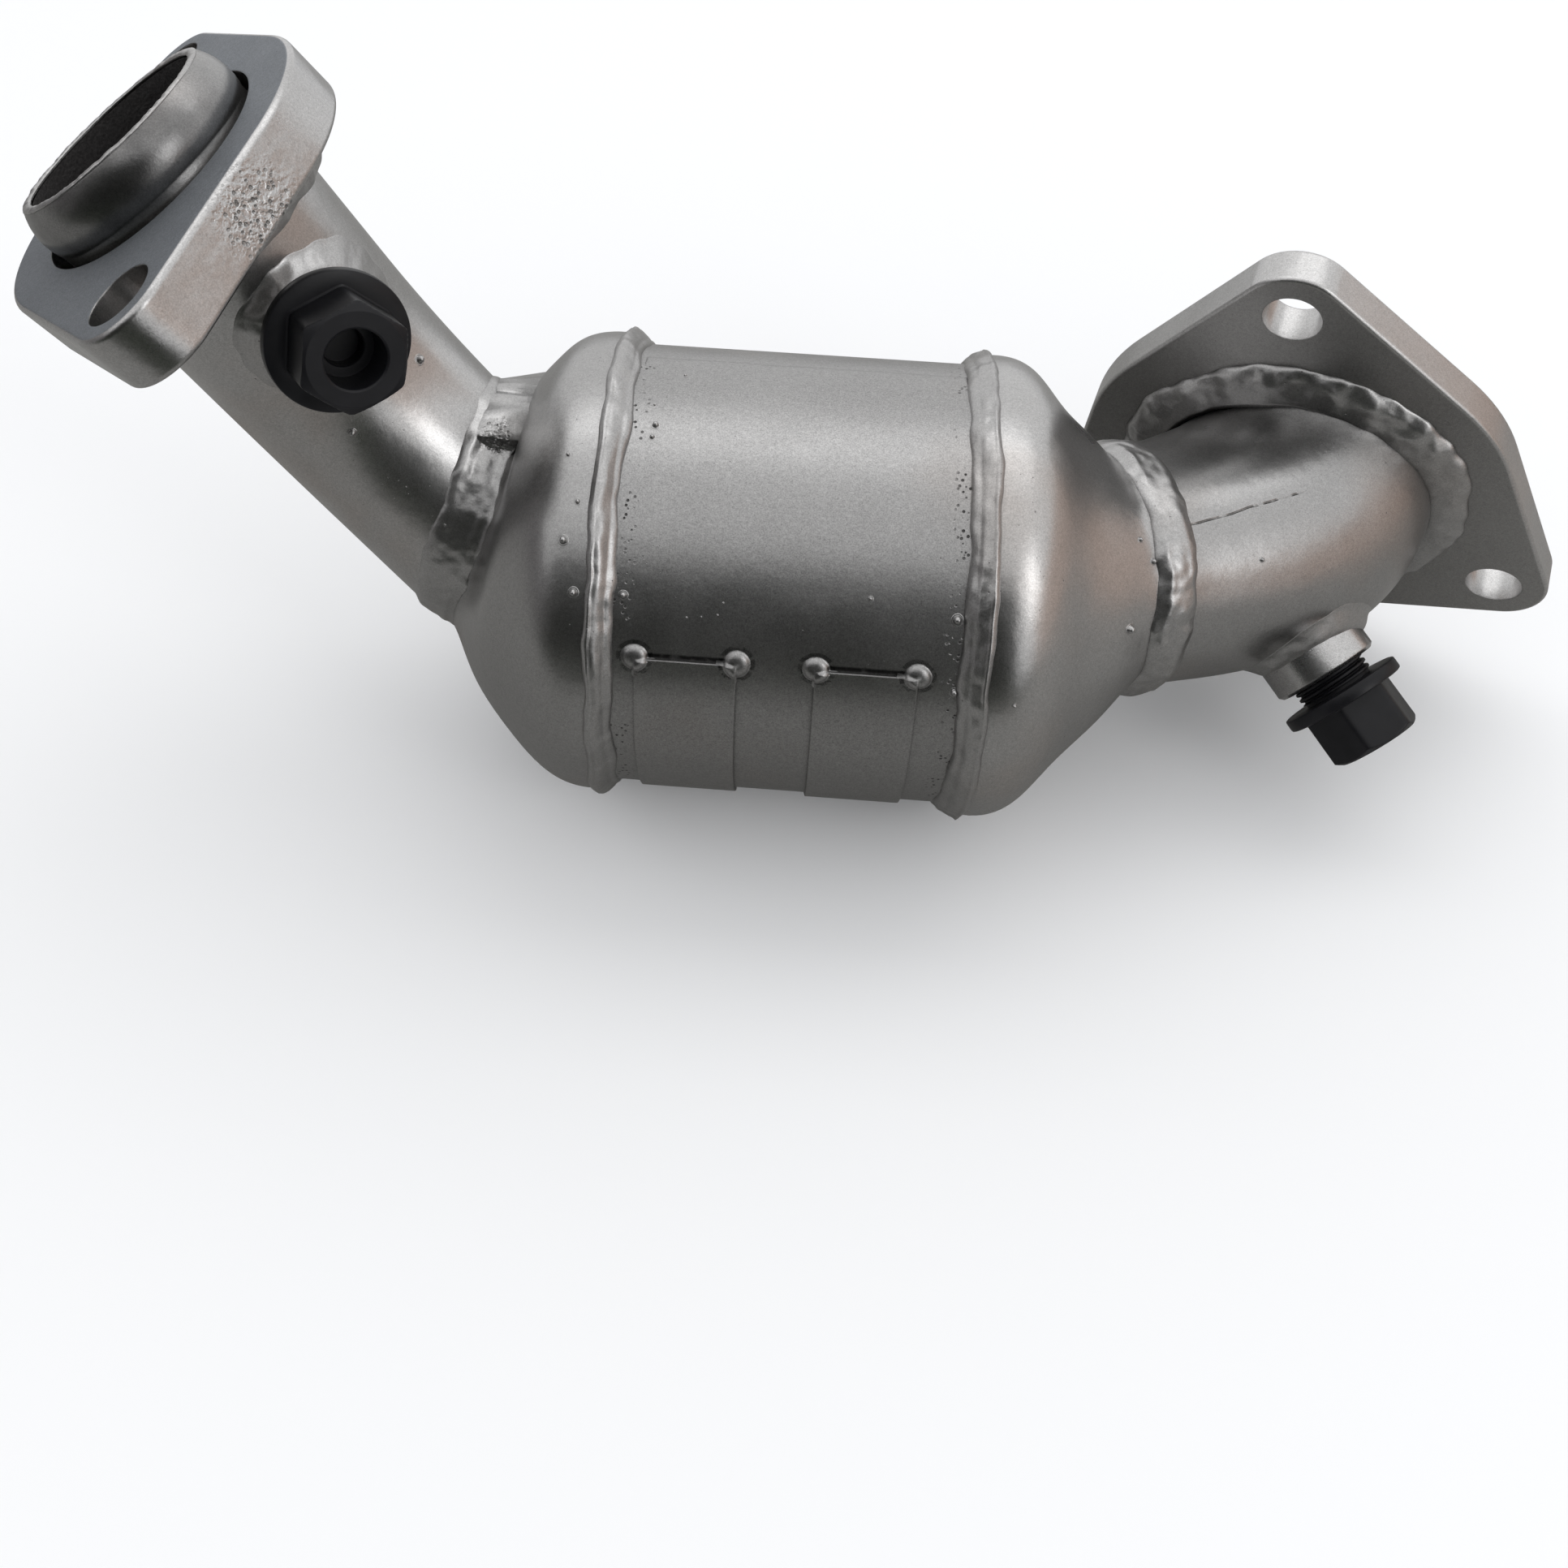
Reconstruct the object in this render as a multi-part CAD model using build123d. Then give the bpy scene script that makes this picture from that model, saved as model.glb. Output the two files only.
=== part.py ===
from build123d import *
import os

# Catalytic converter: a round can with a bent inlet elbow and a long bent outlet pipe.
# Millimetres. X runs along the can towards the inlet, Z is up.
# Every piece is modelled about the middle of the can and is moved at export,
# so that the origin lies in the middle of the inlet flange's mating face.

# Can
can_radius = 50.8
can_wall = 1.5
can_half_length = 44.0
mat_thickness = 3.3
brick_radius = can_radius - can_wall - mat_thickness
brick_inset = 6.0
brick_half_length = can_half_length - brick_inset
brick_edge = 0.6
mat_inset = 6.0
mat_half_length = brick_half_length - mat_inset
mesh_ring_width = 5.0
packing_clearance = 0.05
seam_setback = 5.0
seam_position = can_half_length - seam_setback
seam_bead_width = 7.2
seam_bead_height = 1.9
seam_bead_sink = 0.5
seam_bead_shift = 0.4
rear_seam_angle = 75.0
rear_seam_radius = 2.4
rear_seam_sink = 1.6

# Cones: where each step lies along the can, and its share of the drop to the neck
cone_wall = 2.2
skirt_gap = 0.2
skirt_inner = can_radius + skirt_gap
skirt_outer = skirt_inner + cone_wall
skirt_overhang = 1.0
skirt_end = can_half_length + skirt_overhang
skirt_lead = 4.0
shoulder_run = 7.0
slope_run = 6.5
throat_run = 7.0
shoulder_position = skirt_end + shoulder_run
slope_position = shoulder_position + slope_run
throat_position = slope_position + throat_run
collar_length = 4.7
inlet_cone_shares = (0.122, 0.431, 0.732)
outlet_cone_shares = (0.075, 0.254, 0.514)
outlet_collar_swell = 2.2

# Inlet elbow: its neck on the cone, then the middle of its flange from that neck
elbow_radius = 28.6
elbow_opening = 5.2
elbow_end_radius = elbow_radius + elbow_opening
elbow_bend_radius = 39.0
elbow_wall = 2.2
elbow_steps = 3
elbow_flare = 1.7
elbow_overrun = 3.0
elbow_recess = 2.5
inlet_neck_reach = 9.5
inlet_neck_side = 4.0
inlet_neck_lift = 4.0
inlet_neck_yaw = 15.7
inlet_neck_rise = -4.0
inlet_flange_reach = 47.0
inlet_flange_side = 37.0
inlet_flange_drop = 1.0
inlet_yaw = 70.7
inlet_rise = 14.5
inlet_run = 18.0

# Three-bolt flange
inlet_plate = 9.7
inlet_bolt_circle = 116.0
inlet_bolt_hole = 13.0
inlet_corner_radius = 12.2
inlet_rim_radius = 51.6
inlet_clocking = -11.0
inlet_edge_round = 1.0
flange_slip = 0.2
inlet_bead_width = 8.5
inlet_bead_height = 3.5

# Outlet pipe: its neck on the cone, then its knee and flange from that neck
outlet_radius = 24.0
outlet_wall = 2.0
outlet_knee_radius = 80.0
outlet_turn_lead = 2.0
outlet_end_radius = 40.0
outlet_neck_reach = 10.0
outlet_neck_side = 4.0
outlet_neck_lift = 10.2
outlet_neck_yaw = 177.8
outlet_neck_rise = 18.8
outlet_knee_reach = 27.1
outlet_knee_side = 6.6
outlet_knee_lift = 30.0
outlet_flange_reach = 54.5
outlet_flange_side = -4.0
outlet_flange_lift = 88.2
outlet_yaw = 192.3
outlet_rise = 55.8
sleeve_yaw = 182.7
sleeve_rise = 53.6
sleeve_draw = 1.5
sleeve_radius = outlet_radius - sleeve_draw
sleeve_lap = 1.0
sleeve_length = 9.5
sleeve_swell = 0.6
sleeve_swell_height = 3.0

# Two-bolt flange
outlet_plate = 13.0
outlet_hole_gap = 2.0
outlet_hole_radius = outlet_radius + outlet_hole_gap
outlet_bolt_spacing = 91.2
outlet_bolt_hole = 14.0
outlet_corner_radius = 10.8
outlet_rim_radius = 36.6
outlet_clocking = 13.0
outlet_edge_round = 1.2
outlet_bead_width = 6.0
outlet_bead_height = 6.0

# Beads between pipes and cones
bead_clearance = 0.05
bead_land = 0.4
neck_bead_width = 9.5
neck_bead_height = 2.0
outlet_bead_taper = 1.6
neck_bead_round = 1.6

# Sensor bosses and their plugs: each root lies on the middle line of its pipe
thread_radius = 9.0
thread_clearance = 0.1
thread_length = 13.0
boss_wall = 3.6
boss_radius = thread_radius + boss_wall
boss_edge = 0.8
boss_bead_depth = 8.0
stem_edge = 1.0
plug_overhang = 1.9
plug_flange_radius = boss_radius + plug_overhang
plug_flange_thickness = 3.0
plug_flats = 20.0
plug_head_height = 12.0
plug_socket_radius = 6.0
plug_socket_depth = 9.0
plug_step_radius = 4.0
plug_step_depth = 4.0
crown_slope = 2.2
crown_drop = 1.2
inlet_boss_back = 17.74
inlet_boss_aside = 18.66
inlet_boss_drop = 2.59
inlet_boss_yaw = -49.4
inlet_boss_rise = -25.8
inlet_boss_surface = 29.5
inlet_boss_stand = 10.5
inlet_boss_reach = inlet_boss_surface + inlet_boss_stand
inlet_boss_bead_leg = 5.5
inlet_plug_gap = 4.5
outlet_boss_back = 7.01
outlet_boss_aside = 2.88
outlet_boss_lift = 23.5
outlet_boss_yaw = -55.8
outlet_boss_rise = 16.9
outlet_boss_stand = 8.0
outlet_boss_reach = outlet_radius + outlet_boss_stand
outlet_boss_bead_leg = 3.0
outlet_plug_gap = 0.0

# Bare plates tacked to the can
plate_thickness = 0.9
plate_width = 21.0
plate_top_angle = 158.0
plate_sweep = 72.0
outlet_plate_setback = 8.0
inlet_plate_setback = 12.0
outlet_plate_middle = -(seam_position - outlet_plate_setback - plate_width / 2)
inlet_plate_middle = seam_position - inlet_plate_setback - plate_width / 2
tack_radius = 2.7
tack_sink = 0.3

TURN = 360.0
UP = Vector(0, 0, 1)
ACROSS = Vector(0, 1, 0)
ASLANT = Vector(0, 1, 0.3)


def unit(yaw, rise):
    """Direction from a turn about Z and a rise above the horizontal, in degrees."""
    return Vector(1, 0, 0).rotate(Axis.Y, -rise).rotate(Axis.Z, yaw)


inlet_axis = unit(inlet_yaw, inlet_rise)
outlet_axis = unit(outlet_yaw, outlet_rise)
sleeve_axis = unit(sleeve_yaw, sleeve_rise)
inlet_neck_axis = unit(inlet_neck_yaw, inlet_neck_rise)
outlet_neck_axis = unit(outlet_neck_yaw, outlet_neck_rise)

inlet_neck_centre = Vector(throat_position + inlet_neck_reach, inlet_neck_side, inlet_neck_lift)
inlet_flange_centre = inlet_neck_centre + Vector(inlet_flange_reach, inlet_flange_side, -inlet_flange_drop)
inlet_face = inlet_flange_centre + inlet_axis * inlet_plate
inlet_boss_root = inlet_flange_centre - Vector(inlet_boss_back, inlet_boss_aside, inlet_boss_drop)

outlet_neck_centre = Vector(-throat_position - outlet_neck_reach, outlet_neck_side, outlet_neck_lift)
outlet_knee = outlet_neck_centre + Vector(-outlet_knee_reach, outlet_knee_side, outlet_knee_lift)
outlet_flange_offset = Vector(-outlet_flange_reach, outlet_flange_side, outlet_flange_lift)
outlet_flange_centre = outlet_neck_centre + outlet_flange_offset
outlet_boss_root = outlet_knee + Vector(-outlet_boss_back, -outlet_boss_aside, outlet_boss_lift)


def facing(centre, axis, reference=UP):
    """Plane across an axis whose x direction lies nearest to a reference direction."""
    across = reference - axis * reference.dot(axis)
    return Plane(origin=centre, x_dir=across, z_dir=axis)


def disc(centre, axis, radius, reference=UP):
    return facing(centre, axis, reference) * Circle(radius)


def rod(centre, axis, radius, length):
    return extrude(disc(centre, axis, radius, ASLANT), amount=length, dir=axis)


def one(shape):
    """The largest solid of a result."""
    return max(shape.solids(), key=lambda solid: solid.volume)


def turned(profile, centre, axis):
    """A profile of radius and height, turned round an axis through a centre."""
    plane = facing(centre, axis, ASLANT)
    flat = Plane(origin=centre, x_dir=plane.x_dir, z_dir=plane.y_dir * -1)
    return revolve(flat * profile, axis=Axis(centre, axis))


# Can: shell, brick, mat, mesh rings and rear seam

def can_tube(outer, inner, start, end):
    ring = Circle(outer) - Circle(inner)
    return extrude(Plane.YZ.offset(start) * ring, amount=end - start)


def can_solid():
    """The can as a full cylinder, for cutting what lies on it."""
    end = Plane.YZ.offset(-can_half_length) * Circle(can_radius)
    return extrude(end, amount=2 * can_half_length)


def shell():
    return can_tube(can_radius, can_radius - can_wall, -can_half_length, can_half_length)


def catalyst_brick():
    end = Plane.YZ.offset(-brick_half_length) * Circle(brick_radius)
    block = extrude(end, amount=2 * brick_half_length)
    return chamfer(block.edges().filter_by(GeomType.CIRCLE), brick_edge)


def packing(start, end):
    """Ring that fills the space between the brick and the shell."""
    outer = can_radius - can_wall - packing_clearance
    return can_tube(outer, brick_radius + packing_clearance, start, end)


def rear_seam():
    """Raised weld along the can where its sheet meets."""
    run = seam_position - seam_bead_width / 2
    centre = can_radius - rear_seam_sink
    bead = extrude(Plane.YZ.offset(-run) * Pos(centre, 0) * Circle(rear_seam_radius), amount=2 * run)
    bead = bead.rotate(Axis.X, rear_seam_angle)
    return one(bead - can_solid() - seam_bead(-1) - seam_bead(1))


# Cones

def cone_skin(sign, neck_centre, neck_axis, neck_radius, neck_sketch, collar_sketch, shares, inset):
    """Skin of a cone from the can's round to its tilted neck and short collar."""
    stations = [
        (skirt_end - skirt_lead, 0.0),
        (skirt_end, 0.0),
        (shoulder_position, shares[0]),
        (slope_position, shares[1]),
        (throat_position, shares[2]),
    ]
    can_axis = Vector(sign, 0, 0)
    span = abs(neck_centre.X) - skirt_end
    sections = []
    for position, drop_share in stations:
        lean = max(0.0, (position - skirt_end) / span) ** 2
        centre = Vector(sign * position, neck_centre.Y * lean, neck_centre.Z * lean)
        axis = (can_axis * (1 - lean) + neck_axis * lean).normalized()
        radius = skirt_outer - (skirt_outer - neck_radius) * drop_share - inset
        sections.append(disc(centre, axis, radius, ACROSS))
    sections.append(collar_sketch.moved(Location(neck_axis * -collar_length)))
    sections.append(neck_sketch)
    return loft(sections)


def skirt(sign, inset):
    radius = skirt_outer - inset
    start = min(sign * seam_position, sign * (skirt_end - skirt_lead))
    end = max(sign * seam_position, sign * (skirt_end - skirt_lead))
    return extrude(Plane.YZ.offset(start) * Circle(radius), amount=end - start)


def inlet_neck_sketch(inset):
    return disc(inlet_neck_centre, inlet_neck_axis, elbow_radius - inset, ACROSS)


def outlet_neck_sketch(inset):
    """Ellipse in which the pipe meets the tilted neck."""
    plane = facing(outlet_neck_centre, outlet_neck_axis, ACROSS)
    slant = outlet_neck_axis.dot(outlet_first)
    return plane * Ellipse(outlet_radius - inset, (outlet_radius - inset) / slant)


def inlet_cone_outside(inset=0.0):
    neck = inlet_neck_sketch(inset)
    shares = inlet_cone_shares
    skin = cone_skin(1, inlet_neck_centre, inlet_neck_axis, elbow_radius, neck, neck, shares, inset)
    return skin + skirt(1, inset)


def outlet_cone_outside(inset=0.0):
    neck = outlet_neck_sketch(inset)
    collar = outlet_neck_sketch(inset - outlet_collar_swell)
    shares = outlet_cone_shares
    skin = cone_skin(-1, outlet_neck_centre, outlet_neck_axis, outlet_radius, neck, collar, shares, inset)
    return skin + skirt(-1, inset)


def seam_bead(sign):
    """Lap weld that closes the cone's rim on to the can."""
    middle = (can_radius + skirt_outer) / 2 - seam_bead_sink
    oval = Ellipse(seam_bead_width / 2, seam_bead_height)
    oval = Pos(sign * (seam_position - seam_bead_shift), middle) * oval
    ring = revolve(oval, axis=Axis.X)
    return one(ring - can_solid() - skirt(sign, 0.0))


# Inlet elbow

inlet_knee = inlet_flange_centre - inlet_axis * inlet_run


def inlet_route():
    """Middle line of the elbow, from the neck to the back of its flange."""
    return FilletPolyline(inlet_neck_centre, inlet_knee, inlet_flange_centre, radius=elbow_bend_radius)


def elbow_skin(inset=0.0, overrun=0.0):
    """Skin of the elbow, which opens out and then runs straight through the flange."""
    route = inlet_route()
    sections = []
    if overrun > 0:
        before = inlet_neck_centre - inlet_neck_axis * overrun
        sections.append(disc(before, inlet_neck_axis, elbow_radius - inset, ACROSS))
    sections.append(inlet_neck_sketch(inset))
    for i in range(1, elbow_steps + 1):
        share = i / elbow_steps
        radius = elbow_radius + (elbow_end_radius - elbow_radius) * share ** elbow_flare
        sections.append(disc(route @ share, route % share, radius - inset, ASLANT))
    straight = inlet_plate - elbow_recess + overrun
    return loft(sections) + rod(inlet_flange_centre, inlet_axis, elbow_end_radius - inset, straight)


# Outlet pipe

outlet_first = (outlet_knee - outlet_neck_centre).normalized()
sleeve_root = outlet_flange_centre - outlet_axis * (outlet_plate / 2) + sleeve_axis * (outlet_plate / 2)
outlet_turn = sleeve_root - sleeve_axis * (outlet_plate / 2 + outlet_turn_lead)


def outlet_route(overrun=0.0):
    """Middle line of the pipe, from its neck to the root of the sleeve."""
    return FilletPolyline(
        outlet_neck_centre - outlet_first * overrun,
        outlet_knee,
        outlet_turn,
        sleeve_root - sleeve_axis * sleeve_lap,
        radius=[outlet_knee_radius, outlet_end_radius],
    )


def outlet_tube(radius):
    """Bent rod of the pipe, cut off at the tilted plane of its neck."""
    route = outlet_route(overrun=outlet_radius)
    bent = sweep(disc(route @ 0, route % 0, radius, ACROSS), path=route)
    cut = facing(outlet_neck_centre, outlet_neck_axis, ACROSS)
    return split(bent, bisect_by=cut, keep=Keep.TOP)


def sleeve(inset):
    """Open end of the pipe, swelled at the flange and drawn in at the rim."""
    root = outlet_radius - inset
    rim = sleeve_radius - inset
    foot = -sleeve_lap
    curve = Spline((root, foot), (root + sleeve_swell, sleeve_swell_height), (rim, sleeve_length))
    rest = Polyline((rim, sleeve_length), (0, sleeve_length), (0, foot), (root, foot))
    outline = make_face(curve + rest)
    return turned(outline, sleeve_root, sleeve_axis)


def outlet_skin(inset=0.0):
    return outlet_tube(outlet_radius - inset) + sleeve(inset)


# Flanges

def inlet_corner(i, radius):
    """Point of the inlet flange's pattern at one of its three corners."""
    return Rot(0, 0, inlet_clocking + i * TURN / 3) * Pos(radius, 0)


def inlet_plate_outline():
    rims = Circle(inlet_rim_radius).edges()
    for i in range(3):
        corner = inlet_corner(i, inlet_bolt_circle / 2) * Circle(inlet_corner_radius)
        rims += corner.edges()
    return make_hull(rims)


def inlet_flange():
    plane = facing(inlet_flange_centre, inlet_axis)
    plate = extrude(plane * inlet_plate_outline(), amount=inlet_plate, dir=inlet_axis)
    plate = fillet(plate.edges(), inlet_edge_round)
    for i in range(3):
        hole = plane * inlet_corner(i, inlet_bolt_circle / 2) * Circle(inlet_bolt_hole / 2)
        plate -= extrude(hole, amount=inlet_plate, dir=inlet_axis)
    bore = rod(inlet_flange_centre, inlet_axis, elbow_end_radius + flange_slip, inlet_plate)
    return one(plate - bore)


def outlet_plate_outline():
    rims = Circle(outlet_rim_radius).edges()
    for side in (-1, 1):
        rims += (Pos(side * outlet_bolt_spacing / 2, 0) * Circle(outlet_corner_radius)).edges()
    return make_hull(rims)


def outlet_flange():
    plane = facing(outlet_flange_centre, outlet_axis, ACROSS) * Rot(0, 0, outlet_clocking)
    plate = extrude(plane * outlet_plate_outline(), amount=outlet_plate, dir=outlet_axis * -1)
    plate = fillet(plate.edges(), outlet_edge_round)
    for side in (-1, 1):
        hole = plane * Pos(side * outlet_bolt_spacing / 2, 0) * Circle(outlet_bolt_hole / 2)
        plate -= extrude(hole, amount=outlet_plate, dir=outlet_axis * -1)
    back = outlet_flange_centre - outlet_axis * outlet_plate
    return one(plate - rod(back, outlet_axis, outlet_hole_radius, outlet_plate))


# Beads

def neck_bead(cone_side, pipe_side, axis, cone, pipe):
    """Rough band of weld round the joint of a cone's neck and its pipe."""
    start = cone_side.moved(Location(axis * (-neck_bead_width / 2)))
    end = pipe_side.moved(Location(axis * (neck_bead_width / 2)))
    band = loft([start, end])
    band = fillet(band.edges().filter_by(lambda edge: edge.is_closed), neck_bead_round)
    return one(band - (cone + pipe))


def flange_bead(centre, axis, inner, width, height, pipe):
    """Fillet weld between the back of a flange and its pipe."""
    foot = bead_clearance
    top = inner + bead_land
    side = Polyline((0, foot), (inner + width, foot), (top, height), (0, height), (0, foot))
    return one(turned(make_face(side), centre, axis) - pipe)


def boss_bead(point, axis, surface, leg, pipe):
    """Fillet weld between a boss and the round of its pipe."""
    foot = surface - boss_bead_depth
    side = Polyline(
        (boss_radius, foot),
        (boss_radius + leg, foot),
        (boss_radius + leg, surface - leg / 2),
        (boss_radius, surface + leg),
        (boss_radius, foot),
    )
    return one(turned(make_face(side), point, axis) - pipe)


# Sensor bosses and plugs

def boss(point, axis, reach, pipe):
    """Threaded boss whose foot is shaped to the round of its pipe."""
    collar = rod(point, axis, boss_radius, reach)
    collar = chamfer(collar.edges().filter_by(GeomType.CIRCLE), boss_edge)
    return one(collar - pipe - rod(point, axis, thread_radius + thread_clearance, reach))


def plug(seat, axis):
    """Screw plug with a round flange and a hollow hexagon head."""
    stem = rod(seat - axis * thread_length, axis, thread_radius, thread_length)
    stem = chamfer(stem.edges().filter_by(GeomType.CIRCLE), stem_edge)
    collar = rod(seat, axis, plug_flange_radius, plug_flange_thickness)
    plane = facing(seat + axis * plug_flange_thickness, axis, ASLANT)
    hexagon = RegularPolygon(plug_flats / 2, 6, major_radius=False)
    head = extrude(plane * hexagon, amount=plug_head_height, dir=axis)
    crown = Polyline(
        (0, 0),
        (plug_flats, 0),
        (plug_flats / 2 + crown_slope, plug_head_height - crown_drop),
        (plug_flats / 2, plug_head_height),
        (0, plug_head_height),
        (0, 0),
    )
    head = head & turned(make_face(crown), plane.origin, axis)
    top = plane.origin + axis * plug_head_height
    socket = rod(top - axis * plug_socket_depth, axis, plug_socket_radius, plug_socket_depth)
    step_end = plug_socket_depth + plug_step_depth
    step = rod(top - axis * step_end, axis, plug_step_radius, step_end)
    return one(stem + collar + head - socket - step)


# Plates

def plate(middle):
    """Thin curved plate that lies on the can."""
    strip = Pos(middle, can_radius + plate_thickness / 2) * Rectangle(plate_width, plate_thickness)
    bent = revolve(strip, axis=Axis.X, revolution_arc=plate_sweep)
    return one(bent.rotate(Axis.X, plate_top_angle))


def tacks(plates):
    """Spots of weld at the corners of both plates."""
    spots = []
    for middle in (outlet_plate_middle, inlet_plate_middle):
        for side in (-1, 1):
            for angle in (plate_top_angle, plate_top_angle + plate_sweep):
                height = can_radius + tack_sink
                spot = Pos(middle + side * plate_width / 2, height) * Sphere(tack_radius)
                spot = spot.rotate(Axis.X, angle)
                spot -= can_solid()
                for face in plates:
                    spot -= face
                spots.append(one(spot))
    return Compound(children=spots)


# Assembly

def save(name, shape):
    placed = shape.moved(Location(inlet_face * -1))
    export_step(placed, f"parts/{name}.step")


def save_can():
    save("shell", shell())
    save("catalyst_brick", catalyst_brick())
    save("support_mat", packing(-mat_half_length, mat_half_length))
    mesh_end = mat_half_length + mesh_ring_width
    save("inlet_mesh_ring", packing(mat_half_length, mesh_end))
    save("outlet_mesh_ring", packing(-mesh_end, -mat_half_length))
    save("rear_seam", rear_seam())
    save("inlet_seam_bead", seam_bead(1))
    save("outlet_seam_bead", seam_bead(-1))


def save_inlet():
    cone = inlet_cone_outside()
    save("inlet_cone", one(cone - inlet_cone_outside(cone_wall)))
    elbow = elbow_skin()
    side = unit(inlet_boss_yaw, inlet_boss_rise)
    point = inlet_boss_root
    port = rod(point, side, thread_radius + thread_clearance, inlet_boss_reach)
    save("inlet_elbow", one(elbow - elbow_skin(elbow_wall, elbow_overrun) - port))
    save("inlet_flange", inlet_flange())
    back = -inlet_axis
    width = inlet_bead_width
    weld = flange_bead(inlet_flange_centre, back, elbow_end_radius, width, inlet_bead_height, elbow)
    save("inlet_flange_bead", weld)
    grown = inlet_neck_sketch(-neck_bead_height)
    save("inlet_neck_bead", neck_bead(grown, grown, inlet_neck_axis, cone, elbow))
    save("inlet_boss", boss(point, side, inlet_boss_reach, elbow))
    save("inlet_boss_bead", boss_bead(point, side, inlet_boss_surface, inlet_boss_bead_leg, elbow))
    save("inlet_plug", plug(point + side * (inlet_boss_reach + inlet_plug_gap), side))


def save_outlet():
    cone = outlet_cone_outside()
    save("outlet_cone", one(cone - outlet_cone_outside(cone_wall)))
    pipe = outlet_skin()
    side = unit(outlet_boss_yaw, outlet_boss_rise)
    point = outlet_boss_root
    port = rod(point, side, thread_radius + thread_clearance, outlet_boss_reach)
    save("outlet_pipe", one(pipe - outlet_skin(outlet_wall) - port))
    save("outlet_flange", outlet_flange())
    back = outlet_flange_centre - outlet_axis * outlet_plate
    width = outlet_bead_width
    weld = flange_bead(back, -outlet_axis, outlet_radius, width, outlet_bead_height, pipe)
    save("outlet_flange_bead", weld)
    cone_side = outlet_neck_sketch(-neck_bead_height - outlet_bead_taper)
    pipe_side = outlet_neck_sketch(-neck_bead_height + outlet_bead_taper / 2)
    save("outlet_neck_bead", neck_bead(cone_side, pipe_side, outlet_neck_axis, cone, pipe))
    save("outlet_boss", boss(point, side, outlet_boss_reach, pipe))
    save("outlet_boss_bead", boss_bead(point, side, outlet_radius, outlet_boss_bead_leg, pipe))
    save("outlet_plug", plug(point + side * (outlet_boss_reach + outlet_plug_gap), side))


def save_plates():
    plates = [plate(outlet_plate_middle), plate(inlet_plate_middle)]
    save("outlet_side_plate", plates[0])
    save("inlet_side_plate", plates[1])
    save("plate_tacks", tacks(plates))


os.makedirs("parts", exist_ok=True)
save_can()
save_inlet()
save_outlet()
save_plates()
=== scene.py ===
import bmesh
import bpy
import math
import random
from mathutils import Matrix, Vector, noise
from mathutils.bvhtree import BVHTree


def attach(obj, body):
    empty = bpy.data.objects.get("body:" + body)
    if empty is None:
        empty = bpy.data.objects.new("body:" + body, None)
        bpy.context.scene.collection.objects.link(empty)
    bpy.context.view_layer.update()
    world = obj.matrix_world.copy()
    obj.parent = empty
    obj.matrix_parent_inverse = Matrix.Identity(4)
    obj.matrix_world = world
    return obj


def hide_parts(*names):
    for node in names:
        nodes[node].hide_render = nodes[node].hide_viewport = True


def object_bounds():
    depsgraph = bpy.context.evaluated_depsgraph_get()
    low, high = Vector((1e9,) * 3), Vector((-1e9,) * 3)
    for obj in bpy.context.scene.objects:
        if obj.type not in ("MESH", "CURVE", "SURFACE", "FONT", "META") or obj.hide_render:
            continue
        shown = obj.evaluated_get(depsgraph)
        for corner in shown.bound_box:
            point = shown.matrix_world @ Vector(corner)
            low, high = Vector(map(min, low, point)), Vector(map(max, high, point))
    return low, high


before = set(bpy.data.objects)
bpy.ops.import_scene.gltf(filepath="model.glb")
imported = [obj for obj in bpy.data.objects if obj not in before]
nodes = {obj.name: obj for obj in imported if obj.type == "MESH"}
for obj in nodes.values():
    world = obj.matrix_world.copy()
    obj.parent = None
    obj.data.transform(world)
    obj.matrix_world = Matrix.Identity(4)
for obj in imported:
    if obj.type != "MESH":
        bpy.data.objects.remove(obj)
cad_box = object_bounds()

# Sizes in millimetres about the middle of the can, the same as in the part's source
MM = 0.001
TURN = 2 * math.pi
CAN_RADIUS = 50.8
SEAM = 39.0
REAR_SEAM_ANGLE = 75.0
BRICK_RADIUS = 46.0
BRICK_HALF_LENGTH = 38.0
INLET_NECK = Vector((75.0, 4.0, 4.0))
INLET_FLANGE = Vector((122.0, 41.0, 3.0))
INLET_PLATE = 9.7
INLET_RUN = 18.0
ELBOW_RADIUS = 28.6
ELBOW_END = 33.8
ELBOW_BEND = 39.0
ELBOW_WALL = 2.2
OUTLET_NECK = Vector((-75.5, 4.0, 10.2))
OUTLET_KNEE = Vector((-102.6, 10.6, 40.2))
OUTLET_FLANGE = Vector((-130.0, 0.0, 98.4))
OUTLET_PLATE = 13.0
OUTLET_RADIUS = 24.0
OUTLET_WALL = 2.0
OUTLET_BENDS = (80.0, 40.0)
SLEEVE_RADIUS = 22.5
SLEEVE_LENGTH = 9.5
BOSS_RADIUS = 12.6
PLUG_FLANGE = 14.5
INLET_PLUG_LIFT = 4.5
PLATE_MIDDLES = (-20.5, 16.5)
PLATE_WIDTH = 21.0
PLATE_ANGLES = (158.0, 230.0)


def unit(yaw, rise):
    """Direction that turns from the can's axis by a yaw and a rise in degrees."""
    yaw, rise = math.radians(yaw), math.radians(rise)
    flat = math.cos(rise)
    return Vector((flat * math.cos(yaw), flat * math.sin(yaw), math.sin(rise)))


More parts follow.
